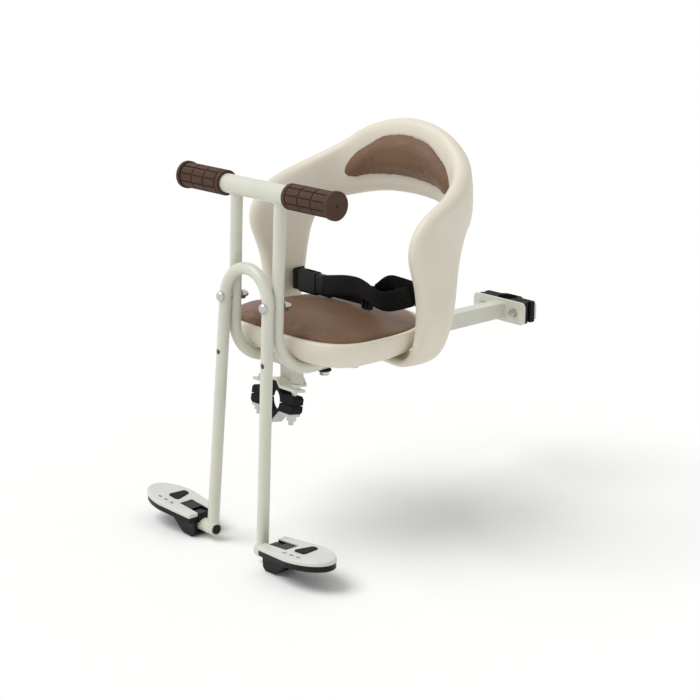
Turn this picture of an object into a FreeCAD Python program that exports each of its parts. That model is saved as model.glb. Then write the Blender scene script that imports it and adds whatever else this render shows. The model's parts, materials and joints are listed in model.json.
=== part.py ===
"""Front child seat for a bicycle, clamped to the frame tube and to the seat post.

Millimetres. Z is up and is the axis of the bicycle's seat post, the child faces -Y, and +X is the
child's left. The welded frame lies at Z = 0, between the two clamps.
"""
import FreeCAD, Part
import math
import os
from FreeCAD import Placement, Rotation, Vector

# Fits between pieces
weld_gap = 0.1
seat_gap = 0.3
hole_clearance = 0.3
pin_clearance = 0.05
press_clearance = 0.02

# Handlebar and its grips; a setback is a distance behind the handlebar's axis
bar_reach = 410.0
bar_height = 204.0
bar_radius = 11.0
bar_wall = 1.5
grip_start = 56.0
grip_length = 75.0
grip_radius = 14.6
grip_groove_depth = 1.3
grip_groove_width = 1.7
grip_groove_count = 10
grip_column_count = 3
grip_collar_length = 5.0
grip_flange_length = 4.5
grip_flange_radius = 16.0
grip_end_wall = 4.0

# Round tubes of the frame
tube_radius = 7.0
tube_wall = 1.5
post_half_gap = 38.0
post_lean_deg = 2.4
post_bend_radius = 47.0

# Square tubes of the frame
beam_size = 20.0
beam_wall = 1.6
cross_depth = 20.0
cross_front_setback = 46.0
cross_rear_setback = 175.0

# Rear clamp round the seat post
rear_bore_radius = 12.7
rear_jaw_depth = 13.0
rear_jaw_half_width = 40.0
rear_jaw_height = 27.0
rear_jaw_wing = 7.5
rear_ridge_half_width = 12.0
rear_ridge_slope = 7.0
rear_plate_half_width = 44.0
rear_plate_height = 29.0
rear_plate_corner = 6.0
rear_bolt_x = 27.0
jaw_split = 1.2
clamp_plate = 3.0
clamp_bolt_radius = 3.0

# Front clamp round the bicycle's frame tube
front_bore_radius = 14.3
front_bore_setback = 23.0
front_bore_z = -44.0
front_tilt_deg = 10.0
front_jaw_length = 16.0
front_jaw_half_width = 37.0
front_jaw_wing = 10.5
front_jaw_corner = 3.0
front_ridge = 23.0
front_ridge_half_width = 4.0
front_ridge_foot = 15.0
front_cap_wing = 16.0
front_cap_half_width = 38.0
front_cap_tongue = 34.0
front_bolt_x = 29.0

# Seat shell and cushion
seat_half_width = 118.0
seat_setback = 87.0
seat_front = 79.0
seat_rear = 113.0
seat_front_power = 3.5
seat_rear_power = 2.5
seat_height = 33.5
seat_edge_radius = 30.0
seat_lip_radius = 3.0
cushion_inset = 6.0
cushion_sink = 5.0
cushion_crown = 16.0
cushion_crown_radius = 620.0
cushion_edge_radius = 5.0
seat_bolt_radius = 3.0
seat_bolt_depth = 15.0
seat_bolt_spacing = 46.0

# Backrest hoop
hoop_half_width = 141.0
hoop_setback = 106.0
hoop_depth = 132.0
hoop_power = 2.85
hoop_half_thickness = 13.0
hoop_section_power = 2.6
hoop_tuck = 9.0
hoop_tuck_level = 130.0
hoop_foot_setback = 142.0
hoop_foot_half_width = 22.0
hoop_foot_half_thickness = 5.6
hoop_foot_tip = 64.0
hoop_bolt_x = 82.0
hoop_top = 260.0
hoop_window_top = 170.5
pad_half_length = 102.0
pad_half_height = 25.5
pad_mid_z = 217.0
pad_end_drop = 28.0
pad_power = 2.25
pad_half_thickness = 6.0

# Waist belt
webbing_width = 25.0
webbing_thickness = 2.4
belt_z = 64.0
belt_slope = 0.04
belt_anchor_share = 0.277
belt_bolt_radius = 2.5
belt_sag = 9.0
strap_bend = 6.0
strap_end = 8.0
tail_sag = 24.0
tail_drop = 0.65
buckle_lead = 13.0
buckle_gap = 22.0
buckle_socket_length = 30.0
buckle_tongue_length = 24.0
buckle_depth = 12.0
buckle_height = 29.0
prong_height = 4.4
slider_place = 0.43
slider_length = 16.0
slider_thickness = 4.0
slot_width = 4.0

# Foot frame
foot_bolt_z = 79.0
foot_lean_deg = 3.9
foot_splay_deg = 1.64
foot_leg_length = 280.0
foot_hole_pitch = 65.0
foot_bolt_radius = 3.0

# Folding pedals
stub_radius = 8.0
stub_bore_radius = 6.0
stub_inner_end = 6.5
knuckle_radius = 9.0
knuckle_reach = 25.0
hinge_pin_radius = 2.5
pedal_rise_deg = 4.0
pedal_inner = 7.0
pedal_outer = 95.0
pedal_half_width = 27.0
pedal_inner_half_width = 22.0
pedal_round_start = 45.0
pedal_top = 17.0
cover_thickness = 4.5
base_thickness = 7.0
pedal_notch_end = 29.0
knuckle_clearance = 0.5
cheek_thickness = 5.5
keel_depth = 13.5
keel_foot = 14.0
keel_end = 42.0
stop_reach = 5.0
insert_height = 1.2
insert_corner = 3.0

# Fasteners
nut_across_flats = 10.0
nut_height = 5.0
washer_radius = 8.0
washer_thickness = 1.5
dome_radius = 6.0
dome_height = 4.0
bolt_tail = 5.0

ORIGIN = Vector(0, 0, 0)
X_DIR = Vector(1, 0, 0)
Y_DIR = Vector(0, 1, 0)
Z_DIR = Vector(0, 0, 1)

# Places that several pieces share
seat_bottom = tube_radius + seat_gap
seat_rim = seat_bottom + seat_height
cushion_floor = seat_rim - cushion_sink
post_lean = math.tan(math.radians(post_lean_deg))
cross_front_y = cross_front_setback - bar_reach
cross_rear_y = cross_rear_setback - bar_reach
front_bore_y = front_bore_setback - bar_reach
seat_mid_y = seat_setback - bar_reach
hoop_mid_y = hoop_setback - bar_reach
hoop_foot_y = hoop_foot_setback - bar_reach
beam_end_y = -rear_jaw_depth - jaw_split / 2 - clamp_plate
cross_rear_front = cross_rear_y - cross_depth / 2
cross_rear_back = cross_rear_y + cross_depth / 2


def post_y(z):
    """Y of the leaning handle posts' axis at a height."""
    return -bar_reach - (bar_height - z) * post_lean


foot_bolt_y = post_y(foot_bolt_z) - 2 * tube_radius - seat_gap
foot_place = Placement(Vector(0, foot_bolt_y, foot_bolt_z), Rotation(X_DIR, -foot_lean_deg))
front_place = Placement(Vector(0, front_bore_y, front_bore_z), Rotation(X_DIR, -front_tilt_deg))


def placed(shape, placement):
    """Copy of a shape moved by a placement."""
    copy = shape.copy()
    copy.Placement = placement.multiply(copy.Placement)
    return copy


def mirrored(shape):
    """The child's right-hand twin of a left-hand piece."""
    return shape.mirror(ORIGIN, X_DIR)


def rod(radius, start, end):
    """Solid cylinder between two points."""
    run = end - start
    return Part.makeCylinder(radius, run.Length, start, run)


def block(x_span, y_span, z_span):
    """Box between three pairs of limits."""
    size = [span[1] - span[0] for span in (x_span, y_span, z_span)]
    return Part.makeBox(*size, Vector(x_span[0], y_span[0], z_span[0]))


def prism(points, direction):
    """Solid from a closed outline of points, pushed along a direction."""
    outline = Part.makePolygon(points + points[:1])
    return Part.Face(outline).extrude(direction)


def smooth_wire(points):
    """Closed smooth wire through points."""
    curve = Part.BSplineCurve()
    curve.interpolate(points, PeriodicFlag=True)
    return Part.Wire([curve.toShape()])


def power(value, exponent):
    """Signed power, for the formula of a rounded oblong."""
    return math.copysign(abs(value) ** exponent, value)


def swept(path, radius):
    """Solid rod along a wire that starts with a straight edge."""
    first = path.OrderedEdges[0]
    start = first.valueAt(first.FirstParameter)
    tangent = first.tangentAt(first.FirstParameter)
    ring = Part.Wire([Part.makeCircle(radius, start, tangent)])
    return path.makePipeShell([ring], True, True)


def swept_tube(path, radius, wall):
    """Hollow round tube along a wire."""
    return swept(path, radius).cut(swept(path, radius - wall))


def square_tube(x_span, y_span, z_span, wall, along):
    """Rectangular tube with rounded long edges, open at the two ends of one axis."""
    spans = [x_span, y_span, z_span]
    outer = block(*spans)
    edges = [edge for edge in outer.Edges if abs(edge.tangentAt(edge.FirstParameter)[along]) > 0.99]
    outer = outer.makeFillet(wall, edges)
    inner = [(span[0] + wall, span[1] - wall) for span in spans]
    inner[along] = spans[along]
    return outer.cut(block(*inner))


def hex_nut(base, direction, bore_radius, height=nut_height):
    """Hexagonal nut that starts at a point and grows along a direction."""
    corner = nut_across_flats / math.sqrt(3)
    points = []
    for step in range(6):
        angle = math.radians(60 * step)
        points.append(Vector(corner * math.cos(angle), corner * math.sin(angle), 0))
    nut = prism(points, Vector(0, 0, height)).cut(rod(bore_radius, ORIGIN, Vector(0, 0, height)))
    return placed(nut, Placement(base, Rotation(Z_DIR, direction)))


def flat_washer(base, direction, bore_radius, radius=washer_radius):
    """Flat ring that starts at a point and grows along a direction."""
    end = base + direction * washer_thickness
    return rod(radius, base, end).cut(rod(bore_radius, base, end))


def dome_bolt(seat, direction, radius, length):
    """Round-head bolt: its head sits at a point, its shank runs along a direction."""
    profile = Part.Wire([
        Part.LineSegment(ORIGIN, Vector(dome_radius, 0, 0)).toShape(),
        Part.Arc(Vector(dome_radius, 0, 0), Vector(dome_radius * 0.72, 0, -dome_height * 0.75),
                 Vector(0, 0, -dome_height)).toShape(),
        Part.LineSegment(Vector(0, 0, -dome_height), ORIGIN).toShape(),
    ])
    head = Part.Face(profile).revolve(ORIGIN, Z_DIR, 360)
    socket_depth = dome_height / 2
    socket = rod(dome_radius / 3, Vector(0, 0, -dome_height), Vector(0, 0, socket_depth - dome_height))
    bolt = head.cut(socket).fuse(rod(radius, ORIGIN, Vector(0, 0, length))).removeSplitter()
    return placed(bolt, Placement(seat, Rotation(Z_DIR, direction)))


def hex_bolt(seat, direction, radius, length):
    """Hexagon-head bolt: its head sits at a point, its shank runs along a direction."""
    head = hex_nut(seat, direction * -1, radius)
    return head.fuse(rod(radius, seat - direction * nut_height, seat + direction * length)).removeSplitter()


# Handlebar, posts and welded frame

bar_centre = Vector(0, -bar_reach, bar_height)
bar_half = grip_start + grip_length - grip_end_wall


def bar_rod(radius, half_length):
    """Rod on the handlebar's axis."""
    return rod(radius, bar_centre - X_DIR * half_length, bar_centre + X_DIR * half_length)


def handlebar_tube():
    """Straight cross tube that carries the grips."""
    return bar_rod(bar_radius, bar_half).cut(bar_rod(bar_radius - bar_wall, bar_half))


def grip():
    """Rubber grip: a collar, three columns of blocks between grooves, and an end flange."""
    floor = grip_radius - grip_groove_depth
    columns_start = grip_collar_length + grip_groove_width
    columns_end = grip_length - grip_flange_length - grip_groove_width
    pitch = (columns_end - columns_start + grip_groove_width) / grip_column_count
    steps = [(0, grip_radius), (grip_collar_length, grip_radius)]
    for column in range(grip_column_count):
        start = columns_start + column * pitch
        end = start + pitch - grip_groove_width
        steps += [(start - grip_groove_width, floor), (start, floor)]
        steps += [(start, grip_radius), (end, grip_radius)]
    flange = grip_length - grip_flange_length
    steps += [(columns_end, floor), (flange, floor), (flange, grip_flange_radius)]
    steps += [(grip_length, grip_flange_radius)]
    outline = [Vector(0, 0, 0)] + [Vector(x, 0, radius) for x, radius in steps] + [Vector(grip_length, 0, 0)]
    body = Part.Face(Part.makePolygon(outline + outline[:1])).revolve(ORIGIN, X_DIR, 360)
    groove = block((columns_start, columns_end), (-grip_groove_width / 2, grip_groove_width / 2),
                   (floor, grip_flange_radius))
    grooves = []
    for step in range(grip_groove_count):
        turn = Rotation(X_DIR, 360 * step / grip_groove_count)
        grooves.append(placed(groove, Placement(ORIGIN, turn)))
    body = body.cut(Part.makeCompound(grooves))
    bore = rod(bar_radius + press_clearance, ORIGIN, Vector(grip_length - grip_end_wall, 0, 0))
    dimple_depth = grip_end_wall / 3
    dimple = rod(dimple_depth, Vector(grip_length - dimple_depth, 0, 0), Vector(grip_length, 0, 0))
    return placed(body.cut(bore).cut(dimple), Placement(bar_centre + X_DIR * grip_start, Rotation()))


def post_path():
    """Axis of a handle post: forward under the seat, round the bend, up to the handlebar."""
    rear = Vector(post_half_gap, cross_rear_front - weld_gap, 0)
    corner = Vector(post_half_gap, post_y(0), 0)
    top = Vector(post_half_gap, -bar_reach, bar_height)
    rise = (top - corner).normalize()
    turn = math.radians(90 + post_lean_deg)
    reach = post_bend_radius * math.tan(turn / 2)
    bend_start = corner + Y_DIR * reach
    bend_end = corner + rise * reach
    bend_centre = bend_start + Z_DIR * post_bend_radius
    to_middle = (corner - bend_centre).normalize()
    bend_middle = bend_centre + to_middle * post_bend_radius
    return Part.Wire([
        Part.LineSegment(rear, bend_start).toShape(),
        Part.Arc(bend_start, bend_middle, bend_end).toShape(),
        Part.LineSegment(bend_end, top).toShape(),
    ])


seat_bolt_places = [(post_half_gap, cross_front_y + cross_depth / 2 + tube_radius + step * seat_bolt_spacing)
                    for step in range(2)]


def foot_bolt_holes():
    """Rods through leg and post where the foot frame is bolted on."""
    reach = 4 * tube_radius
    hole = rod(foot_bolt_radius + hole_clearance, Vector(post_half_gap, -reach, 0),
               Vector(post_half_gap, reach, 0))
    return placed(hole, foot_place)


def handle_post():
    """Bent tube from under the seat to the handlebar."""
    post = swept_tube(post_path(), tube_radius, tube_wall)
    post = post.cut(bar_rod(bar_radius + weld_gap, bar_half)).cut(foot_bolt_holes())
    for x, y in seat_bolt_places:
        post = post.cut(rod(seat_bolt_radius + hole_clearance, Vector(x, y, -seat_bottom),
                            Vector(x, y, seat_bottom)))
    return max(post.Solids, key=lambda solid: solid.Volume)


def front_cross_tube():
    """Flat tube between the two posts, which carries the clamp stem."""
    tube = square_tube((-post_half_gap, post_half_gap),
                       (cross_front_y - cross_depth / 2, cross_front_y + cross_depth / 2),
                       (-tube_radius, tube_radius), beam_wall, 0)
    post = swept(post_path(), tube_radius + weld_gap)
    tube = tube.cut(post).cut(mirrored(post))
    return max(tube.Solids, key=lambda solid: solid.Volume)


def rear_cross_tube():
    """Flat tube across the rear ends of the posts."""
    reach = post_half_gap + tube_radius
    return square_tube((-reach, reach), (cross_rear_front, cross_rear_back),
                       (-tube_radius, tube_radius), beam_wall, 0)


def main_beam():
    """Square tube from under the seat to the rear clamp."""
    half = beam_size / 2
    return square_tube((-half, half), (cross_rear_back, beam_end_y), (-half, half), beam_wall, 1)


def clamp_stem():
    """Square tube down from the front cross tube, notched to sit on the clamp cap's ridge."""
    half = beam_size / 2
    bottom = front_bore_z
    stem = square_tube((-half, half), (cross_front_y - half, cross_front_y + half),
                       (bottom, -tube_radius), beam_wall, 2)
    reach = front_cap_tongue + front_jaw_length
    ridge = prism(cap_ridge_outline(clamp_plate + weld_gap), Vector(0, 2 * reach, 0))
    ridge.translate(Vector(0, -reach, 0))
    stem = stem.cut(placed(ridge, front_place))
    return max(stem.Solids, key=lambda solid: solid.BoundBox.ZMax)


# Rear clamp: plate, two jaws, strap and their bolts

def rear_plate():
    """Ear plate welded across the beam's end, with two bolt holes."""
    half = rear_plate_height / 2
    plate = block((-rear_plate_half_width, rear_plate_half_width), (beam_end_y, beam_end_y + clamp_plate),
                  (-half, half))
    edges = [edge for edge in plate.Edges if abs(edge.tangentAt(edge.FirstParameter).y) > 0.99]
    return plate.makeFillet(rear_plate_corner, edges).cut(rear_bolt_holes())


def rear_bolt_holes():
    """Rods through both ears of the rear clamp."""
    reach = 3 * rear_jaw_depth
    holes = []
    for x in (-rear_bolt_x, rear_bolt_x):
        holes.append(rod(clamp_bolt_radius + hole_clearance, Vector(x, -reach, 0), Vector(x, reach, 0)))
    return Part.makeCompound(holes)


def rear_strap_line():
    """Inner line of the rear strap in plan, from one wing over the ridge to the other wing."""
    wing = jaw_split / 2 + rear_jaw_wing
    ridge = jaw_split / 2 + rear_jaw_depth
    foot = rear_ridge_half_width + rear_ridge_slope
    left = [(rear_jaw_half_width, wing), (foot, wing), (rear_ridge_half_width, ridge)]
    right = [(-x, y) for x, y in reversed(left)]
    return left + right


def rear_jaw(outline):
    """Rubber jaw from a plan outline, with half of the seat-post bore."""
    half = rear_jaw_height / 2
    jaw = prism([Vector(x, y, -half) for x, y in outline], Vector(0, 0, rear_jaw_height))
    bore = rod(rear_bore_radius, Vector(0, 0, -half), Vector(0, 0, half))
    return jaw.cut(bore).cut(rear_bolt_holes())


def rear_front_jaw():
    """Jaw against the ear plate, with chamfered ends."""
    back = -jaw_split / 2 - rear_jaw_depth
    width = rear_jaw_half_width
    chamfer = rear_jaw_depth / 3
    return rear_jaw([(-width, back), (width, back), (width, -jaw_split / 2 - chamfer),
                     (width - chamfer, -jaw_split / 2), (chamfer - width, -jaw_split / 2),
                     (-width, -jaw_split / 2 - chamfer)])


def rear_back_jaw():
    """Jaw under the strap, thick over the bore and thin at the wings."""
    width = rear_jaw_half_width
    return rear_jaw(rear_strap_line() + [(-width, jaw_split / 2), (width, jaw_split / 2)])


def rear_strap():
    """Pressed steel strap behind the back jaw."""
    half = rear_jaw_height / 2 - clamp_plate
    inner = rear_strap_line()
    outer = [(x, y + clamp_plate) for x, y in reversed(inner)]
    strap = prism([Vector(x, y, -half) for x, y in inner + outer], Vector(0, 0, 2 * half))
    return strap.cut(rear_bolt_holes())


def rear_bolts():
    """Two hexagon bolts with their heads on the ear plate."""
    grip_length_y = jaw_split / 2 + rear_jaw_wing + clamp_plate - beam_end_y
    length = grip_length_y + nut_height + bolt_tail
    return [hex_bolt(Vector(x, beam_end_y, 0), Y_DIR, clamp_bolt_radius, length)
            for x in (-rear_bolt_x, rear_bolt_x)]


def rear_nuts():
    """Nuts on the strap's wings."""
    seat = jaw_split / 2 + rear_jaw_wing + clamp_plate
    return [hex_nut(Vector(x, seat, 0), Y_DIR, clamp_bolt_radius + pin_clearance)
            for x in (-rear_bolt_x, rear_bolt_x)]


# Front clamp, built about its own bore along Y and then tilted into place

def cap_line():
    """Inner line of the cap across the bore: wing, foot of the ridge, top of the ridge, and back."""
    slope = (front_ridge - front_jaw_wing) / (front_ridge_foot - front_ridge_half_width)
    foot = front_ridge_half_width + (front_ridge - front_cap_wing) / slope
    left = [(front_cap_half_width, front_cap_wing), (foot, front_cap_wing),
            (front_ridge_half_width, front_ridge)]
    return left + [(-x, z) for x, z in reversed(left)]


def cap_ridge_outline(lift):
    """Closed outline of the ridge and all below it, raised by a lift, at Y = 0."""
    ridge = cap_line()[1:-1]
    floor = -front_ridge
    points = [(ridge[0][0], floor)] + [(x, z + lift) for x, z in ridge] + [(ridge[-1][0], floor)]
    return [Vector(x, 0, z) for x, z in points]


def along_bore(points, start, end):
    """Prism of an outline across the bore, between two places along it."""
    return prism([Vector(x, start, z) for x, z in points], Vector(0, end - start, 0))


def front_bolt_holes():
    """Upright rods through both wings of the front clamp."""
    reach = 2 * front_ridge
    return Part.makeCompound([
        rod(clamp_bolt_radius + hole_clearance, Vector(x, 0, -reach), Vector(x, 0, reach))
        for x in (-front_bolt_x, front_bolt_x)])


def front_cap():
    """Pressed cap over the upper jaw, with a tongue that runs back under the stem."""
    half = front_jaw_length / 2
    line = cap_line()
    upper = [(x, z + clamp_plate) for x, z in reversed(line)]
    cap = along_bore(line + upper, -half, half)
    ridge = line[1:-1]
    ridge_upper = [(x, z + clamp_plate) for x, z in reversed(ridge)]
    tongue = along_bore(ridge + ridge_upper, half, front_cap_tongue)
    return placed(cap.fuse(tongue).removeSplitter().cut(front_bolt_holes()), front_place)


def front_jaw_line(ridge, foot):
    """Outline of a front jaw above the split, with a ridge over the bore."""
    width = front_jaw_half_width
    corner = front_jaw_corner
    left = [(width, jaw_split / 2), (width, front_jaw_wing - corner), (width - corner, front_jaw_wing),
            (foot, front_jaw_wing), (front_ridge_half_width, ridge)]
    return left + [(-x, z) for x, z in reversed(left)]


def front_jaw(upper):
    """Upper or lower jaw of the front clamp."""
    half = front_jaw_length / 2
    outline = front_jaw_line(front_ridge, front_ridge_foot)
    if not upper:
        outline = [(x, -z) for x, z in outline]
    jaw = along_bore(outline, -half, half)
    bore = rod(front_bore_radius, Vector(0, -half, 0), Vector(0, half, 0))
    return placed(jaw.cut(bore).cut(front_bolt_holes()), front_place)


def front_strap():
    """Pressed steel strap under the lower jaw."""
    half = front_jaw_length / 2
    line = [(front_jaw_half_width - front_jaw_corner, -front_jaw_wing), (front_ridge_foot, -front_jaw_wing),
            (front_ridge_half_width, -front_ridge)]
    line += [(-x, z) for x, z in reversed(line)]
    lower = [(x, z - clamp_plate) for x, z in reversed(line)]
    return placed(along_bore(line + lower, -half, half).cut(front_bolt_holes()), front_place)


def front_bolts():
    """Two hexagon bolts down through cap, jaws and strap."""
    top = front_cap_wing + clamp_plate
    length = top + front_jaw_wing + clamp_plate + nut_height + bolt_tail
    return [placed(hex_bolt(Vector(x, 0, top), Z_DIR * -1, clamp_bolt_radius, length), front_place)
            for x in (-front_bolt_x, front_bolt_x)]


def front_nuts():
    """Nuts under the lower strap."""
    seat = -front_jaw_wing - clamp_plate
    return [placed(hex_nut(Vector(x, 0, seat), Z_DIR * -1, clamp_bolt_radius + pin_clearance), front_place)
            for x in (-front_bolt_x, front_bolt_x)]


# Seat shell, cushion and the bolts that hold them on the frame

def seat_outline(inset, z):
    """Plan outline of the seat, a rounded oblong that is squarer in front than behind."""
    points = []
    steps = 28
    for step in range(steps):
        angle = 2 * math.pi * step / steps
        front = math.sin(angle) < 0
        exponent = 2 / (seat_front_power if front else seat_rear_power)
        length = (seat_front if front else seat_rear) - inset
        x = (seat_half_width - inset) * power(math.cos(angle), exponent)
        y = seat_mid_y + length * power(math.sin(angle), exponent)
        points.append(Vector(x, y, z))
    return smooth_wire(points)


def seat_slab(inset, low, high):
    """Upright slab with the seat's outline."""
    return Part.Face(seat_outline(inset, low)).extrude(Vector(0, 0, high - low))


def edges_at(shape, z):
    """Edges of a shape that lie wholly at one height."""
    return [edge for edge in shape.Edges
            if abs(edge.BoundBox.ZMin - z) < 0.01 and abs(edge.BoundBox.ZMax - z) < 0.01]


def seat_shell():
    """Moulded pan with a round lower edge and a shallow tray for the cushion."""
    shell = seat_slab(0, seat_bottom, seat_rim)
    shell = shell.makeFillet(seat_edge_radius, edges_at(shell, seat_bottom))
    shell = shell.makeFillet(seat_lip_radius, edges_at(shell, seat_rim))
    shell = shell.cut(seat_slab(cushion_inset - seat_gap, cushion_floor, seat_rim + seat_lip_radius))
    for x, y in seat_bolt_places + [(hoop_bolt_x, hoop_foot_y)]:
        for side in (-x, x):
            shell = shell.cut(rod(seat_bolt_radius + press_clearance, Vector(side, y, 0),
                                  Vector(side, y, seat_bottom + seat_bolt_depth)))
    return shell


def seat_cushion():
    """Crowned pad that lies in the shell's tray."""
    bottom = cushion_floor + seat_gap
    top = cushion_floor + cushion_crown
    slab = seat_slab(cushion_inset, bottom, top + seat_gap)
    ball = Part.makeSphere(cushion_crown_radius, Vector(0, seat_mid_y, top - cushion_crown_radius))
    pad = slab.common(ball)
    rim = [edge for edge in pad.Edges
           if edge.BoundBox.ZMin > bottom + 1 and edge.BoundBox.DiagonalLength > seat_front]
    return pad.makeFillet(cushion_edge_radius, rim)


def seat_bolts():
    """Bolts from under the posts up into the shell."""
    bolts = []
    for x, y in seat_bolt_places:
        for side in (-x, x):
            seat = Vector(side, y, -tube_radius - seat_gap - washer_thickness)
            length = seat_bottom + seat_bolt_depth - seat_gap - seat.z
            bolts.append(hex_bolt(seat, Z_DIR, seat_bolt_radius, length))
    return bolts


def seat_washers():
    """Rubber washers between the bolt heads and the posts."""
    washers = []
    for x, y in seat_bolt_places:
        for side in (-x, x):
            seat = Vector(side, y, -tube_radius - seat_gap - washer_thickness)
            washers.append(flat_washer(seat, Z_DIR, seat_bolt_radius + pin_clearance))
    return washers


# Backrest hoop: one moulded horseshoe whose two legs tuck under the seat shell

def hoop_plan_x(y):
    """Half width of the hoop's middle line at a place along the seat."""
    if y <= hoop_mid_y:
        return hoop_half_width
    ratio = (y - hoop_mid_y) / hoop_depth
    return hoop_half_width * (1 - ratio ** hoop_power) ** (1 / hoop_power)


def hoop_plan_y(x):
    """Place along the seat of the hoop's middle line at a half width."""
    ratio = abs(x) / hoop_half_width
    return hoop_mid_y + hoop_depth * (1 - ratio ** hoop_power) ** (1 / hoop_power)


def hoop_outward(x, y):
    """Outward direction of the hoop's wall in plan."""
    across = power(x / hoop_half_width, hoop_power - 1) / hoop_half_width
    along = power(max(y - hoop_mid_y, 0) / hoop_depth, hoop_power - 1) / hoop_depth
    return Vector(across, along, 0).normalize()


def hoop_section(centre, wide, outward, half_width, half_thickness):
    """Closed rounded section of the hoop."""
    points = []
    steps = 12
    exponent = 2 / hoop_section_power
    for step in range(steps):
        angle = 2 * math.pi * step / steps
        run = half_width * power(math.cos(angle), exponent)
        lift = half_thickness * power(math.sin(angle), exponent)
        points.append(centre + wide * run + outward * lift)
    return points


# Edges of a hoop arm as (setback, Z) at the window side and at the front or top side, from the leg upward
arm_edges = [
    ((170.0, 45.0), (119.0, 45.0)),
    ((180.0, 98.0), (110.0, 103.0)),
    ((186.0, 121.0), (100.0, 141.0)),
    ((194.0, 137.0), (118.0, 172.0)),
    ((204.0, 146.0), (152.0, 190.0)),
]

# Edges of the hoop's rear band as (X, lower Z, upper Z)
band_edges = [
    (105.0, 154.0, 222.0),
    (80.0, 161.0, 240.0),
    (44.0, 168.0, 254.0),
    (0.0, hoop_window_top, hoop_top),
]


def tucked_x(y, z):
    """Half width of the hoop, which draws in towards the seat low down."""
    return hoop_plan_x(y) - hoop_tuck * max(0.0, 1 - z / hoop_tuck_level)


def hoop_left_sections(grow):
    """Sections of the left half, from the foot under the seat to the middle of the band."""
    sections = []
    leg_x = tucked_x(hoop_foot_y, arm_edges[0][0][1])
    foot_z = seat_bottom - 2 * seat_gap - hoop_foot_half_thickness
    foot_thickness = hoop_foot_half_thickness + grow
    bend_x = leg_x - hoop_half_thickness
    diagonal = Vector(1, 0, -1).normalize()
    for x in (hoop_foot_tip, hoop_bolt_x, bend_x - 1.5 * hoop_half_thickness):
        sections.append(hoop_section(Vector(x, hoop_foot_y, foot_z), Y_DIR, Z_DIR * -1,
                                     hoop_foot_half_width, foot_thickness))
    sections.append(hoop_section(Vector(bend_x, hoop_foot_y, foot_z + hoop_half_thickness), Y_DIR, diagonal,
                                 hoop_foot_half_width, hoop_foot_half_thickness * 1.5 + grow))
    for window_edge, front_edge in arm_edges:
        window, front = [Vector(tucked_x(setback - bar_reach, z), setback - bar_reach, z)
                         for setback, z in (window_edge, front_edge)]
        centre = (window + front) * 0.5
        wide = (window - front).normalize()
        outward = hoop_outward(hoop_plan_x(centre.y), centre.y)
        outward = (outward - wide * outward.dot(wide)).normalize()
        sections.append(hoop_section(centre, wide, outward, (window - front).Length / 2,
                                     hoop_half_thickness + grow))
    for x, low, high in band_edges:
        y = hoop_plan_y(x)
        sections.append(hoop_section(Vector(x, y, (low + high) / 2), Z_DIR * -1, hoop_outward(x, y),
                                     (high - low) / 2, hoop_half_thickness + grow))
    return sections


def skin(sections):
    """Solid with one smooth wall through closed sections of equally many points, capped at both ends."""
    count = len(sections[0])
    turns = [0.0]
    for place in range(count):
        steps = [(section[(place + 1) % count] - section[place]).Length for section in sections]
        turns.append(turns[-1] + sum(steps) / len(sections))
    rows = []
    for section in sections:
        row = Part.BSplineCurve()
        row.interpolate(Points=section, PeriodicFlag=True, Parameters=turns)
        rows.append(row)
    centres = [sum(section[1:], section[0]) * (1 / count) for section in sections]
    stops = [0.0]
    for centre, following in zip(centres, centres[1:]):
        stops.append(stops[-1] + (following - centre).Length)
    rails = []
    for poles in zip(*[row.getPoles() for row in rows]):
        rail = Part.BSplineCurve()
        rail.interpolate(Points=list(poles), Parameters=stops)
        rails.append(rail)
    wall = Part.BSplineSurface()
    wall.buildFromPolesMultsKnots([list(poles) for poles in zip(*[rail.getPoles() for rail in rails])],
                                  rails[0].getMultiplicities(), rows[0].getMultiplicities(),
                                  rails[0].getKnots(), rows[0].getKnots(), False, True, 3, 3)
    face = wall.toShape()
    caps = [Part.Face(Part.Wire([edge])) for edge in face.Edges if edge.isClosed()]
    shell = Part.makeShell([face] + caps)
    shell.sewShape()
    return Part.makeSolid(shell)


def hoop_body(grow):
    """The whole hoop, with its wall grown by a clearance."""
    left = hoop_left_sections(grow)
    right = [[Vector(-point.x, point.y, point.z) for point in section] for section in reversed(left[:-1])]
    return skin(left + right)


hoop_wall = hoop_body(0)


def leg_face_x(y):
    """Half width between the hoop legs' inner faces, over the height of the webbing."""
    faces = []
    reach = webbing_width / 2 + belt_slope * hoop_half_width
    for z in (belt_z - reach, belt_z - reach / 2, belt_z, belt_z + reach / 2, belt_z + reach):
        across = Part.makeLine(Vector(0, y, z), Vector(hoop_half_width, y, z))
        faces.append(min(vertex.X for vertex in hoop_wall.common(across).Vertexes))
    return min(faces)


def leg_edge_y(side, z):
    """Place along the seat of a hoop leg's window edge (side 0) or front edge (side 1) at a height."""
    (low, low_z), (high, high_z) = arm_edges[0][side], arm_edges[1][side]
    return low + (high - low) * (z - low_z) / (high_z - low_z) - bar_reach


leg_window_y = leg_edge_y(0, belt_z)
belt_anchor_y = leg_window_y + belt_anchor_share * (leg_edge_y(1, belt_z) - leg_window_y)
buckle_y = belt_anchor_y - buckle_lead
belt_anchor = Vector(leg_face_x(belt_anchor_y), belt_anchor_y, belt_z)
belt_turn = leg_face_x(belt_anchor_y + strap_end) - leg_face_x(belt_anchor_y - strap_bend)
belt_axis = Vector(strap_end + strap_bend, -belt_turn, 0).normalize()


def belt_bolt_rods(radius, inward, outward):
    """Rods through the inner faces of both hoop legs where the belt is bolted on."""
    left = rod(radius, belt_anchor - belt_axis * inward, belt_anchor + belt_axis * outward)
    return [left, mirrored(left)]


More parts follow.
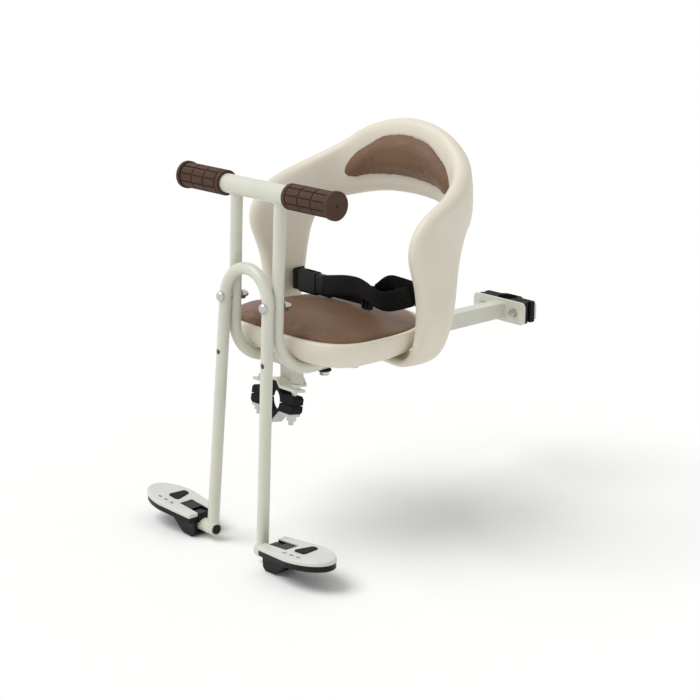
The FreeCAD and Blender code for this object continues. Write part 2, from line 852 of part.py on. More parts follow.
def backrest_hoop():
    """The hoop with the holes for its own bolts and the belt's."""
    hoop = hoop_wall
    for side in (-hoop_bolt_x, hoop_bolt_x):
        hoop = hoop.cut(rod(seat_bolt_radius + hole_clearance, Vector(side, hoop_foot_y, -seat_bottom),
                            Vector(side, hoop_foot_y, seat_bottom)))
    for hole in belt_bolt_rods(belt_bolt_radius + press_clearance, webbing_width, hoop_half_thickness + 1):
        hoop = hoop.cut(hole)
    return hoop


def backrest_pad():
    """Padded crescent on the inside of the rear band."""
    sections = []
    steps = 8
    for step in range(steps + 1):
        share = 2 * step / steps - 1
        x = pad_half_length * math.sin(share * math.pi / 2)
        y = hoop_plan_y(x)
        outward = hoop_outward(x, y)
        taper = max((1 - abs(x / pad_half_length) ** pad_power) ** (1 / pad_power), 0.15)
        z = pad_mid_z - pad_end_drop * (x / pad_half_length) ** 2
        centre = Vector(x, y, z) - outward * hoop_half_thickness
        sections.append(hoop_section(centre, Z_DIR * -1, outward, pad_half_height * taper,
                                     pad_half_thickness * taper))
    return max(skin(sections).cut(hoop_body(seat_gap)).Solids, key=lambda solid: solid.Volume)


def hoop_bolts():
    """Bolts up through the hoop's feet into the shell."""
    bottom = seat_bottom - 4 * seat_gap - 2 * hoop_foot_half_thickness
    length = seat_bottom + seat_bolt_depth - seat_gap - bottom
    return [dome_bolt(Vector(side, hoop_foot_y, bottom), Z_DIR, seat_bolt_radius, length)
            for side in (-hoop_bolt_x, hoop_bolt_x)]


# Waist belt

def ribbon(points, z, thickness=webbing_thickness):
    """Webbing on edge along a smooth line in plan, centred at a height."""
    curve = Part.BSplineCurve()
    curve.interpolate([Vector(x, y, z - webbing_width / 2) for x, y in points])
    sides = []
    steps = 4 * len(points)
    for side in (-thickness / 2, thickness / 2):
        offset = []
        for step in range(steps + 1):
            at = curve.FirstParameter + (curve.LastParameter - curve.FirstParameter) * step / steps
            tangent = Vector(*curve.tangent(at)[0])
            offset.append(curve.value(at) + Vector(-tangent.y, tangent.x, 0) * side)
        line = Part.BSplineCurve()
        line.interpolate(offset)
        sides.append(line)
    ends = [Part.LineSegment(sides[0].StartPoint, sides[1].StartPoint),
            Part.LineSegment(sides[0].EndPoint, sides[1].EndPoint)]
    outline = Part.Wire(Part.__sortEdges__([item.toShape() for item in sides + ends]))
    return Part.Face(outline).extrude(Vector(0, 0, webbing_width))


def sloped(strap):
    """A level strap that climbs evenly towards the left leg."""
    shear = FreeCAD.Matrix()
    shear.A31 = belt_slope
    return strap.transformGeometry(shear)


buckle_start = buckle_gap - leg_face_x(buckle_y)
tongue_start = buckle_start + buckle_socket_length + seat_gap
tongue_end = tongue_start + buckle_tongue_length - seat_gap
buckle_z = belt_z + belt_slope * tongue_start
strap_lift = seat_gap + webbing_thickness / 2


def belt_drill(strap):
    """A strap with the anchor bolts' holes punched through it."""
    for hole in belt_bolt_rods(belt_bolt_radius + 2 * pin_clearance, webbing_width, webbing_thickness):
        strap = strap.cut(hole)
    return strap


def anchor_points():
    """Plan points of a strap that lies on the left leg, from the front to its end."""
    return [(leg_face_x(y) - strap_lift, y)
            for y in (belt_anchor_y - strap_bend, belt_anchor_y, belt_anchor_y + strap_end)]


def belt_points(places, sag):
    """Plan points from the buckle to the left leg, given as shares of the way and of a sag."""
    span = belt_anchor.x - tongue_end
    return [(tongue_end + share * span, buckle_y - depth * sag) for share, depth in places]


def short_strap():
    """Short strap from the right leg to the buckle socket."""
    anchor = [(-x, y) for x, y in anchor_points()]
    leg_x, leg_y = anchor[0]
    turn = leg_y - buckle_y
    inset = turn * (1 - math.sqrt(0.5))
    start = buckle_start - 3 * seat_gap
    points = [(start, buckle_y), ((start + leg_x + turn) / 2, buckle_y), (leg_x + turn, buckle_y),
              (leg_x + inset, buckle_y + inset)] + anchor
    return belt_drill(sloped(ribbon(points, belt_z)))


def long_strap():
    """Long strap from the left leg to the buckle tongue."""
    places = ((0.0, 0.0), (0.3, 0.55), (0.6, 1.0), (0.87, 0.85), (0.96, 0.2))
    points = belt_points(places, belt_sag) + anchor_points()
    points[0] = (tongue_end + seat_gap, buckle_y)
    return belt_drill(sloped(ribbon(points, belt_z)))


def strap_tail():
    """Loose end of the long strap, which sags in front of it over the cushion."""
    places = ((-0.04, 0.38), (0.36, 0.71), (0.64, 1.0), (0.86, 0.85), (0.91, 0.6))
    return sloped(ribbon(belt_points(places, tail_sag), belt_z - tail_drop))


def buckle_half(start, length, height, depth):
    """Moulded half of the buckle, with rounded long edges."""
    body = block((start, start + length), (buckle_y - depth / 2, buckle_y + depth / 2),
                 (buckle_z - height / 2, buckle_z + height / 2))
    edges = [edge for edge in body.Edges if abs(edge.tangentAt(edge.FirstParameter).x) > 0.99]
    return body.makeFillet(depth / 3, edges)


def buckle_socket():
    """Receiving half of the side-release buckle, open towards the tongue and at both sides."""
    body = buckle_half(buckle_start, buckle_socket_length, buckle_height, buckle_depth)
    wall = buckle_depth / 4
    mouth = block((buckle_start + wall, buckle_start + buckle_socket_length),
                  (buckle_y - buckle_depth / 4, buckle_y + buckle_depth / 4),
                  (buckle_z - buckle_height / 2 + wall, buckle_z + buckle_height / 2 - wall))
    side = block((buckle_start + 3 * wall, buckle_start + buckle_socket_length - wall),
                 (buckle_y - buckle_depth / 4, buckle_y + buckle_depth / 4),
                 (buckle_z - buckle_height, buckle_z + buckle_height))
    return body.cut(mouth).cut(side)


def buckle_tongue():
    """Tongue of the buckle: a strap frame and two spring prongs."""
    frame = buckle_half(tongue_start, tongue_end - tongue_start, 0.9 * buckle_height, 0.85 * buckle_depth)
    slot_start = tongue_end - 2.5 * slot_width
    slot = block((slot_start, slot_start + slot_width), (buckle_y - buckle_depth, buckle_y + buckle_depth),
                 (buckle_z - webbing_width / 2, buckle_z + webbing_width / 2))
    frame = frame.cut(slot)
    prong_half = buckle_depth / 4 - seat_gap
    for side in (-1, 1):
        centre = buckle_z + side * buckle_height / 3.6
        prong = block((tongue_start - buckle_socket_length * 0.75, tongue_start + webbing_thickness),
                      (buckle_y - prong_half, buckle_y + prong_half),
                      (centre - prong_height / 2, centre + prong_height / 2))
        frame = frame.fuse(prong)
    return frame.removeSplitter()


def belt_slider():
    """Flat adjuster in front of the long strap."""
    x, y = belt_points([(slider_place, 0.95)], belt_sag)[0]
    y -= (webbing_thickness + slider_thickness) / 2 + 2 * seat_gap
    z = belt_z + belt_slope * (x + slider_length / 2)
    body = block((x, x + slider_length), (y - slider_thickness / 2, y + slider_thickness / 2),
                 (z - buckle_height / 2, z + buckle_height / 2))
    edges = [edge for edge in body.Edges if abs(edge.tangentAt(edge.FirstParameter).y) > 0.99]
    body = body.makeFillet(0.75 * slider_thickness, edges)
    rail = (slider_length - 2 * slot_width) / 3
    for start in (x + rail, x + 2 * rail + slot_width):
        body = body.cut(block((start, start + slot_width), (y - slider_thickness, y + slider_thickness),
                              (z - webbing_width / 2 - seat_gap, z + webbing_width / 2 + seat_gap)))
    return body


def belt_bolts():
    """Round-head bolts that hold the straps to the hoop's legs."""
    lift = webbing_thickness + 3 * seat_gap
    left = dome_bolt(belt_anchor - belt_axis * lift, belt_axis, belt_bolt_radius, lift + hoop_half_thickness)
    return [left, mirrored(left)]


# Foot frame: an inverted U that stands in front of the posts

foot_splay = math.radians(foot_splay_deg)
foot_arc_radius = post_half_gap
leg_end_x = foot_arc_radius / math.cos(foot_splay) + foot_leg_length * math.tan(foot_splay)
leg_end = foot_place.multVec(Vector(leg_end_x, 0, -foot_leg_length))
hinge = leg_end + X_DIR * knuckle_reach


def foot_path():
    """Axis of the foot frame in its own upright plane."""
    side = Vector(foot_arc_radius * math.cos(foot_splay), 0, foot_arc_radius * math.sin(foot_splay))
    end = Vector(leg_end_x, 0, -foot_leg_length)
    crown = Vector(0, 0, foot_arc_radius)
    return Part.Wire([
        Part.LineSegment(end, side).toShape(),
        Part.Arc(side, crown, Vector(-side.x, 0, side.z)).toShape(),
        Part.LineSegment(Vector(-side.x, 0, side.z), Vector(-end.x, 0, end.z)).toShape(),
    ])


def stub_rod(radius, reach):
    """Rod along a pivot stub, from its inner end outward."""
    return rod(radius, leg_end - X_DIR * stub_inner_end, leg_end + X_DIR * reach)


def foot_frame():
    """Bent tube with bolt holes and a second pair of holes for a lower setting."""
    frame = swept_tube(foot_path(), tube_radius, tube_wall)
    reach = 2 * tube_radius
    for z in (0, -foot_hole_pitch):
        x = leg_end_x - (foot_leg_length + z) * math.tan(foot_splay)
        for side in (-x, x):
            frame = frame.cut(rod(foot_bolt_radius + hole_clearance, Vector(side, -reach, z),
                                  Vector(side, reach, z)))
    frame = placed(frame, foot_place)
    stub = stub_rod(stub_radius + weld_gap, knuckle_reach)
    frame = frame.cut(stub).cut(mirrored(stub))
    return max(frame.Solids, key=lambda solid: solid.Volume)


def foot_bolts():
    """Round-head bolts through legs and posts."""
    length = 4 * tube_radius + seat_gap + nut_height + bolt_tail
    return [placed(dome_bolt(Vector(side, -tube_radius, 0), Y_DIR, foot_bolt_radius, length), foot_place)
            for side in (-post_half_gap, post_half_gap)]


def foot_nuts():
    """Nuts behind the posts."""
    seat = 3 * tube_radius + 2 * seat_gap
    return [placed(hex_nut(Vector(side, seat, 0), Y_DIR, foot_bolt_radius + pin_clearance), foot_place)
            for side in (-post_half_gap, post_half_gap)]


def pedal_stub():
    """Pivot tube welded across a leg's end, open inside and closed by a round knuckle outside."""
    body = stub_rod(stub_radius, knuckle_reach).fuse(Part.makeSphere(knuckle_radius, hinge)).removeSplitter()
    body = body.cut(stub_rod(stub_bore_radius, knuckle_reach - knuckle_radius))
    return body.cut(rod(hinge_pin_radius + pin_clearance, hinge - Y_DIR * stub_radius * 2,
                        hinge + Y_DIR * stub_radius * 2))


# Folding pedals, built about their hinge with X outward, then raised a little and placed

pedal_place = Placement(hinge, Rotation(Y_DIR, -pedal_rise_deg))
cover_bottom = pedal_top - cover_thickness
base_bottom = cover_bottom - base_thickness
notch_half = knuckle_radius + knuckle_clearance
keel_half = notch_half + cheek_thickness


def pedal_outline(inset, z):
    """Plan outline of a pedal: a slightly flared plate with an elliptical outer end."""
    half = pedal_half_width - inset
    inner_half = pedal_inner_half_width - inset
    length = pedal_outer - pedal_round_start - inset
    centre = Vector(pedal_round_start, 0, z)
    ends = [Vector(-pedal_inner + inset, side * inner_half, z) for side in (-1, 1)]
    if length > half:
        ellipse = Part.Ellipse(centre + X_DIR * length, centre + Y_DIR * half, centre)
        nose = Part.ArcOfEllipse(ellipse, -math.pi / 2, math.pi / 2)
    else:
        nose = Part.Arc(centre - Y_DIR * half, centre + X_DIR * length, centre + Y_DIR * half)
    edges = [Part.LineSegment(ends[0], centre - Y_DIR * half).toShape(), nose.toShape(),
             Part.LineSegment(centre + Y_DIR * half, ends[1]).toShape(),
             Part.LineSegment(ends[1], ends[0]).toShape()]
    return Part.Wire(edges)


def pedal_plate(inset, low, high):
    """Plate with the pedal's outline and the notch that takes the leg when folded."""
    plate = Part.Face(pedal_outline(inset, low)).extrude(Vector(0, 0, high - low))
    return plate.cut(block((-2 * pedal_inner, pedal_notch_end), (-notch_half, notch_half), (low, high)))


insert_outline = [(37.0, -6.0), (56.0, -6.0), (54.0, 17.0), (45.0, 17.0)]
slot_centres = [(35.0, -16.0), (46.5, -16.0), (58.0, -16.0)]
slot_size = (6.0, 3.2)


def insert_prism(grow, low, high):
    """Trapezium of the rubber insert with round corners, grown by a clearance."""
    middle_x = sum(x for x, y in insert_outline) / len(insert_outline)
    middle_y = sum(y for x, y in insert_outline) / len(insert_outline)
    points = [Vector(x + math.copysign(grow, x - middle_x), y + math.copysign(grow, y - middle_y), low)
              for x, y in insert_outline]
    body = prism(points, Vector(0, 0, high - low))
    corners = [edge for edge in body.Edges if abs(edge.tangentAt(edge.FirstParameter).z) > 0.99]
    return body.makeFillet(insert_corner + grow, corners)


def pedal_cover():
    """White tread with a rounded upper edge, a window for the insert and three slots."""
    cover = pedal_plate(0, cover_bottom, pedal_top)
    rim = [edge for edge in edges_at(cover, pedal_top) if edge.BoundBox.XMax > pedal_notch_end + 1]
    cover = cover.makeFillet(cover_thickness / 2, [edge for edge in rim if edge.BoundBox.YLength > 2 or
                                                   edge.BoundBox.XLength > 2])
    cover = cover.cut(insert_prism(seat_gap, cover_bottom, pedal_top))
    for x, y in slot_centres:
        cover = cover.cut(block((x - slot_size[0] / 2, x + slot_size[0] / 2),
                                (y - slot_size[1] / 2, y + slot_size[1] / 2), (cover_bottom, pedal_top)))
    return placed(cover, pedal_place)


def pedal_base():
    """Black base: a plate under the tread and a keel whose cheeks straddle the knuckle."""
    plate = pedal_plate(1.0, base_bottom, cover_bottom)
    outline = [(-pedal_inner, base_bottom), (-pedal_inner, 4 - keel_depth), (4 - pedal_inner, -keel_depth),
               (keel_foot, -keel_depth), (keel_end, base_bottom)]
    keel = prism([Vector(x, -keel_half, z) for x, z in outline], Vector(0, 2 * keel_half, 0))
    keel = keel.cut(block((-2 * pedal_inner, pedal_notch_end), (-notch_half, notch_half),
                          (-notch_half, pedal_top)))
    base = plate.fuse(keel).removeSplitter()
    stop_top = stop_reach * math.tan(math.radians(pedal_rise_deg)) - stub_radius - seat_gap
    stop = block((-pedal_inner, -stop_reach), (-notch_half, notch_half), (-notch_half - 1, stop_top))
    base = base.fuse(stop).removeSplitter()
    pin = rod(hinge_pin_radius + press_clearance, Vector(0, -keel_half, 0), Vector(0, keel_half, 0))
    return placed(base.cut(pin), pedal_place)


def pedal_insert():
    """Rubber tread insert, standing a little proud of the cover."""
    return placed(insert_prism(0, cover_bottom, pedal_top + insert_height), pedal_place)


def pedal_pin():
    """Hinge pin pressed into the keel's cheeks."""
    return placed(rod(hinge_pin_radius, Vector(0, -keel_half, 0), Vector(0, keel_half, 0)), pedal_place)


def twins(piece):
    """A left-hand piece and its right-hand twin."""
    return {"left": piece, "right": mirrored(piece)}


def all_pieces():
    """Every piece by name; a list holds identical pieces that share a name."""
    pieces = {
        "handlebar_tube": handlebar_tube(),
        "front_cross_tube": front_cross_tube(),
        "rear_cross_tube": rear_cross_tube(),
        "main_beam": main_beam(),
        "clamp_stem": clamp_stem(),
        "rear_clamp_plate": rear_plate(),
        "rear_clamp_front_jaw": rear_front_jaw(),
        "rear_clamp_back_jaw": rear_back_jaw(),
        "rear_clamp_strap": rear_strap(),
        "rear_clamp_bolts": rear_bolts(),
        "rear_clamp_nuts": rear_nuts(),
        "front_clamp_cap": front_cap(),
        "front_clamp_upper_jaw": front_jaw(True),
        "front_clamp_lower_jaw": front_jaw(False),
        "front_clamp_strap": front_strap(),
        "front_clamp_bolts": front_bolts(),
        "front_clamp_nuts": front_nuts(),
        "seat_shell": seat_shell(),
        "seat_cushion": seat_cushion(),
        "seat_bolts": seat_bolts(),
        "seat_washers": seat_washers(),
        "backrest_hoop": backrest_hoop(),
        "backrest_pad": backrest_pad(),
        "hoop_bolts": hoop_bolts(),
        "belt_short_strap": short_strap(),
        "belt_long_strap": long_strap(),
        "belt_tail": strap_tail(),
        "buckle_socket": buckle_socket(),
        "buckle_tongue": buckle_tongue(),
        "belt_slider": belt_slider(),
        "belt_bolts": belt_bolts(),
        "foot_frame": foot_frame(),
        "foot_frame_bolts": foot_bolts(),
        "foot_frame_nuts": foot_nuts(),
    }
    sided = {
        "handle_post": handle_post(),
        "grip": grip(),
        "pedal_stub": pedal_stub(),
        "pedal_cover": pedal_cover(),
        "pedal_base": pedal_base(),
        "pedal_insert": pedal_insert(),
        "pedal_hinge_pin": pedal_pin(),
    }
    for name, piece in sided.items():
        for side, twin in twins(piece).items():
            pieces[f"{side}_{name}"] = twin
    return pieces


def main():
    """Write one file for each named piece."""
    os.makedirs("parts", exist_ok=True)
    for name, piece in all_pieces().items():
        shape = Part.makeCompound(piece) if isinstance(piece, list) else piece
        shape.exportStep(f"parts/{name}.step")
        print(name, len(shape.Solids), "valid" if shape.isValid() else "INVALID", round(shape.Volume))


main()
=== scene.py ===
"""Studio scene of a front child seat for a bicycle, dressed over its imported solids.

Lengths are in millimetres where no other unit is named, and become metres where a mesh is made. Z is the
axis of the bicycle's seat post, the child faces -Y and +X is the child's left.
"""
import json
import logging
import math
from collections.abc import Sequence
from dataclasses import dataclass, field
from enum import Enum
from functools import cache

import bmesh
import bpy
from mathutils import Matrix, Vector


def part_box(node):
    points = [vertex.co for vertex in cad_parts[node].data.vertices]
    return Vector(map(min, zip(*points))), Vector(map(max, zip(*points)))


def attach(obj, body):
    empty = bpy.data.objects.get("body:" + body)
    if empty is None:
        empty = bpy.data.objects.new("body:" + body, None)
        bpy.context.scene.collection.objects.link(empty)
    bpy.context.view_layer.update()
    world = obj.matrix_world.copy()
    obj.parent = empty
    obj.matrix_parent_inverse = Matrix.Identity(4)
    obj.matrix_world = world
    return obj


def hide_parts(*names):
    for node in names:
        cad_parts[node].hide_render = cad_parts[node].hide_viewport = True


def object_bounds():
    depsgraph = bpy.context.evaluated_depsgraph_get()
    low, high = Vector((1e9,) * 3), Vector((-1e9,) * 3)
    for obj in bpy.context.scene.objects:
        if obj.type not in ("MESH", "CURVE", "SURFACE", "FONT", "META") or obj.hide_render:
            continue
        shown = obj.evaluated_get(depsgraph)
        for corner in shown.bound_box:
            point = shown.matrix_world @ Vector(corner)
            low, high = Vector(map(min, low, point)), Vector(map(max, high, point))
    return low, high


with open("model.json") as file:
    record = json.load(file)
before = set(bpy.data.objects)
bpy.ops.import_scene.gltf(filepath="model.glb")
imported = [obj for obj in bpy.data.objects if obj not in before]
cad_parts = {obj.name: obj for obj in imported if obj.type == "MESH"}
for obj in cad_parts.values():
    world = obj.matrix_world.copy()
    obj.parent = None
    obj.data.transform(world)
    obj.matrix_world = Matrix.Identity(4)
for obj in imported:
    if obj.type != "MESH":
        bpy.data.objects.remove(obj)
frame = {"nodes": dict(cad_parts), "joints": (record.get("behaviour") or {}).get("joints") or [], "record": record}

log = logging.getLogger("child_seat")
MM = 0.001
ROOT_BODY = "seat_frame"
SOLID_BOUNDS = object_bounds()
NODE_SLOTS: dict[str, str] = {entry["node"]: entry["material_slot"] for entry in frame["record"]["subparts"]}
LEFT_HINGE = next(Vector(joint["pos_m"]) / MM
                  for joint in frame["joints"] if joint["child"] == "left_pedal")
X_AXIS = Vector((1, 0, 0))
Z_AXIS = Vector((0, 0, 1))
# Patches times relief, where a finish starts to leave its tone and where it has its full colour.
TONE_RANGE = (0.05, 0.35)
# How many finer layers the noise of the patches and of a speckle has.
PATCH_DETAIL = 3.0
SPECKLE_DETAIL = 2.0
# The wave texture runs through one wave in this length of its own.
WAVE_LENGTH = math.tau / 20
# A bevel with this profile is a part of a circle.
ROUND_PROFILE = 0.5


def linear(code: str) -> tuple[float, float, float, float]:
    """Turn an sRGB hex colour into the linear colour that a shader takes.

    Args:
        code: Six hex digits after a hash sign.

    Returns:
        Red, green and blue as linear light, and an alpha of one.
    """
    channels = [int(code[start:start + 2], 16) / 255 for start in (1, 3, 5)]
    light = [value / 12.92 if value <= 0.04045 else ((value + 0.055) / 1.055) ** 2.4 for value in channels]
    return light[0], light[1], light[2], 1.0


def add_node(tree: bpy.types.NodeTree, kind: str, settings: dict[str | int, object] | None = None,
             links: dict[str | int, bpy.types.NodeSocket | bpy.types.Node] | None = None,
             **properties: object) -> bpy.types.Node:
    """Add a node with its settings and its incoming links.

    Args:
        tree: Shader or geometry tree that gets the node.
        kind: Type name of the node.
        settings: Input socket name or index to its fixed value.
        links: Input socket name or index to what feeds it: an output socket, or a node's first output.
        **properties: Attributes of the node itself.

    Returns:
        The new node.
    """
    node = tree.nodes.new(kind)
    for name, value in properties.items():
        setattr(node, name, value)
    for name, value in (settings or {}).items():
        node.inputs[name].default_value = value
    for name, source in (links or {}).items():
        output = source.outputs[0] if isinstance(source, bpy.types.Node) else source
        tree.links.new(output, node.inputs[name])
    return node


def new_object(name: str, mesh: bpy.types.Mesh, smooth: bool = True) -> bpy.types.Object:
    """Put a mesh into the scene as an object at the origin.

    Args:
        name: Name of the object and its mesh.
        mesh: Mesh with its place in its vertices.
        smooth: Whether its faces are shaded smooth.

    Returns:
        The new object.
    """
    mesh.name = name
    for polygon in mesh.polygons:
        polygon.use_smooth = smooth
    piece = bpy.data.objects.new(name, mesh)
    bpy.context.scene.collection.objects.link(piece)
    return piece


def mesh_of(shape: bmesh.types.BMesh, name: str) -> bpy.types.Mesh:
    """Turn an edited shape into a mesh and let the shape go.

    Args:
        shape: The shape, which can't be used afterwards.
        name: Name of the mesh.

    Returns:
        The mesh.
    """
    mesh = bpy.data.meshes.new(name)
    shape.to_mesh(mesh)
    shape.free()
    return mesh


def plain_mesh(piece: bpy.types.Object) -> bpy.types.Mesh:
    """Give an object's evaluated shape as a mesh of its own.

    Args:
        piece: Object whose modifiers are read.

    Returns:
        A new mesh that no modifier changes.
    """
    graph = bpy.context.evaluated_depsgraph_get()
    return bpy.data.meshes.new_from_object(piece.evaluated_get(graph), depsgraph=graph)


class Relief(Enum):
    """Kinds of fine surface that a finish can have."""

    SPECKLE = "speckle"
    GRAIN = "grain"
    WEAVE = "weave"


class Held(Enum):
    """Ways in which a length of webbing is held."""

    STRETCHED = "stretched"
    HUNG = "hung"


class Side(Enum):
    """The child's two sides, each with the sign of its X."""

    RIGHT = -1
    LEFT = 1

    @property
    def word(self) -> str:
        """Give the side's name as the names of pieces have it."""
        return self.name.lower()


@dataclass(frozen=True)
class Finish:
    """A real material and how its surface was made.

    Attributes:
        name: Common name of the material.
        colour: sRGB hex colour of most of the surface.
        tone: sRGB hex colour of its slightly different patches.
        roughness: Middle of the spread of its reflection.
        uneven: How far the roughness goes up and down.
        patch: Size of the patches.
        metallic: One for bare metal.
        coat: Strength of a clear layer.
        sheen: Strength of a soft cloth edge.
        specular: Strength of the reflection of a surface that isn't metal.
        relief: Kind of fine surface.
        pattern: Size at which the relief is drawn.
        depth: Height of the relief.
    """

    name: str
    colour: str
    tone: str
    roughness: float
    uneven: float = 0.05
    patch: float = 30.0
    metallic: float = 0.0
    coat: float = 0.0
    sheen: float = 0.0
    specular: float = 0.5
    relief: Relief = Relief.SPECKLE
    pattern: float = 1.0
    depth: float = 0.02

    @cache
    def material(self) -> bpy.types.Material:
        """Make the material once and give it back on later calls.

        Returns:
            The material.
        """
        material = bpy.data.materials.new(self.name)
        material.use_nodes = True
        material.diffuse_color = linear(self.colour)
        tree = material.node_tree
        shader = tree.nodes["Principled BSDF"]
        values = {"Metallic": self.metallic, "Coat Weight": self.coat, "Sheen Weight": self.sheen,
                  "Specular IOR Level": self.specular}
        for socket, value in values.items():
            shader.inputs[socket].default_value = value
        place = add_node(tree, "ShaderNodeTexCoord")
        patches = add_node(tree, "ShaderNodeTexNoise",
                           {"Scale": 1 / (self.patch * MM), "Detail": PATCH_DETAIL},
                           {"Vector": place.outputs["Object"]})
        height = self.height(tree, place)
        shade = add_node(tree, "ShaderNodeMath", links={0: patches.outputs["Fac"], 1: height},
                         operation="MULTIPLY")
        share = add_node(tree, "ShaderNodeMapRange", {"From Min": TONE_RANGE[0], "From Max": TONE_RANGE[1]},
                         {"Value": shade})
        # Inputs 6 and 7 and output 2 of the mix node are its colours.
        colour = add_node(tree, "ShaderNodeMix", {6: linear(self.tone), 7: linear(self.colour)},
                          {0: share}, data_type="RGBA")
        rough = add_node(tree, "ShaderNodeMapRange",
                         {"To Min": self.roughness + self.uneven, "To Max": self.roughness - self.uneven},
                         {"Value": patches.outputs["Fac"]})
        bump = add_node(tree, "ShaderNodeBump", {"Strength": 1.0, "Distance": self.depth * MM},
                        {"Height": height})
        feeds = {"Base Color": colour.outputs[2], "Roughness": rough.outputs["Result"],
                 "Normal": bump.outputs["Normal"]}
        for socket, output in feeds.items():
            tree.links.new(output, shader.inputs[socket])
        return material

    def height(self, tree: bpy.types.NodeTree, place: bpy.types.Node) -> bpy.types.NodeSocket:
        """Add the nodes of the relief.

        Args:
            tree: The material's tree.
            place: Node that gives the coordinates.

        Returns:
            The relief's height, from nought to about one.
        """
        scale = 1 / (self.pattern * MM)
        if self.relief is Relief.SPECKLE:
            noise = add_node(tree, "ShaderNodeTexNoise", {"Scale": scale, "Detail": SPECKLE_DETAIL},
                             {"Vector": place.outputs["Object"]})
            return noise.outputs["Fac"]
        if self.relief is Relief.GRAIN:
            cells = add_node(tree, "ShaderNodeTexVoronoi", {"Scale": scale},
                             {"Vector": place.outputs["Object"]}, feature="SMOOTH_F1")
            crown = add_node(tree, "ShaderNodeMath", {0: 1.0}, {1: cells.outputs["Distance"]},
                             operation="SUBTRACT")
            return crown.outputs["Value"]
        threads = []
        for direction in ("X", "Y"):
            wave = add_node(tree, "ShaderNodeTexWave", {"Scale": scale * WAVE_LENGTH},
                            {"Vector": place.outputs["UV"]}, bands_direction=direction)
            threads.append(wave.outputs["Fac"])
        weave = add_node(tree, "ShaderNodeMath", links={0: threads[0], 1: threads[1]}, operation="MAXIMUM")
        return weave.outputs["Value"]


# The fine textures of coating, mouldings, plating and thread are drawn coarser than they are, to show at all.
# Powder coat on steel: a greyish cream film with a faint orange peel and a soft gloss.
CREAM_PAINT = Finish("powder_coated_steel_cream", "#d5d5c7", "#cfcfc0", 0.34, coat=0.12, pattern=3.0)
# Moulded foam skin: a warm satin cream surface with a very fine texture.
CREAM_SKIN = Finish("moulded_skin_cream", "#e0d9c8", "#dbd3c2", 0.44, pattern=1.6)
# Moulded polypropylene: off-white satin.
WHITE_PLASTIC = Finish("moulded_polypropylene_white", "#d4d5cf", "#cecfc8", 0.40, pattern=1.2)
# Moulded rubber: dull brown that scatters light.
BROWN_RUBBER = Finish("moulded_rubber_brown", "#4f392d", "#463126", 0.64, specular=0.2, depth=0.04,
                      patch=12.0)
# Coated fabric with an embossed hide grain, drawn a little coarse so that it shows.
BROWN_LEATHER = Finish("grained_leathercloth_brown", "#765a45", "#6a4f3b", 0.50, sheen=0.02, specular=0.25,
                       relief=Relief.GRAIN, pattern=2.2, depth=0.08)
# Woven polyester webbing, its thread spacing drawn coarse so that it shows.
BLACK_WEBBING = Finish("woven_polyester_black", "#121212", "#080808", 0.80, sheen=0.03, specular=0.12,
                       relief=Relief.WEAVE, pattern=2.4, depth=0.2)
# Moulded nylon: black satin.
BLACK_PLASTIC = Finish("moulded_nylon_black", "#121213", "#0e0e0f", 0.42, specular=0.22, pattern=1.2)
# Moulded rubber: black and dull.
BLACK_RUBBER = Finish("moulded_rubber_black", "#161616", "#101010", 0.70, specular=0.18, depth=0.04)
# Bright zinc plate on steel: a cool metal with soft, slightly cloudy reflections.
ZINC_STEEL = Finish("zinc_plated_steel", "#c4c4c2", "#b4b5b6", 0.30, uneven=0.08, patch=6.0, metallic=1.0,
                    pattern=0.8, depth=0.01)
# Black oxide on steel: a dark dull film that hides the metal's shine.
BLACKENED_STEEL = Finish("black_oxide_steel", "#1d1d1e", "#151516", 0.45, specular=0.3, patch=4.0,
                         pattern=0.8, depth=0.01)
# Polyester sewing thread, a little shinier than the webbing.
BLACK_THREAD = Finish("polyester_thread_black", "#1e1e1f", "#161616", 0.55, specular=0.3, patch=2.0,
                      pattern=0.4)

SLOT_FINISHES: dict[str, Finish] = {
    "cream_paint": CREAM_PAINT,
    "cream_plastic": CREAM_SKIN,
    "white_plastic": WHITE_PLASTIC,
    "brown_rubber": BROWN_RUBBER,
    "brown_leather": BROWN_LEATHER,
    "black_webbing": BLACK_WEBBING,
    "black_plastic": BLACK_PLASTIC,
    "black_rubber": BLACK_RUBBER,
    "zinc_steel": ZINC_STEEL,
    "blackened_steel": BLACKENED_STEEL,
}


def black_moulding(shape: bmesh.types.BMesh, name: str, body: str, smooth: bool) -> None:
    """Finish a small black piece: a plastic moulding, and also the black discs of painted shade in the stub ends.

    Args:
        shape: Its closed shape.
        name: Its name.
        body: Body that it rides on.
        smooth: Whether its faces are shaded smooth.
    """
    bmesh.ops.recalc_face_normals(shape, faces=shape.faces)
    piece = new_object(name, mesh_of(shape, name), smooth)
    piece.data.materials.append(BLACK_PLASTIC.material())
    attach(piece, body)
    log.info("moulded %s", name)


def line_tree(name: str, sizes: Sequence[str]) -> tuple[bpy.types.NodeTree, bpy.types.Node, bpy.types.Node]:
    """Start a geometry tree that turns the edges of a mesh into curves.

    Args:
        name: Name of the tree.
        sizes: Names of its inputs.

    Returns:
        The tree, its input node and the node that gives the curves.
    """
    tree = bpy.data.node_groups.new(name, "GeometryNodeTree")
    tree.interface.new_socket("Geometry", in_out="INPUT", socket_type="NodeSocketGeometry")
    for size in sizes:
        tree.interface.new_socket(size, in_out="INPUT", socket_type="NodeSocketFloat")
    tree.interface.new_socket("Geometry", in_out="OUTPUT", socket_type="NodeSocketGeometry")
    given = add_node(tree, "NodeGroupInput")
    curves = add_node(tree, "GeometryNodeMeshToCurve", links={"Mesh": given})
    return tree, given, curves


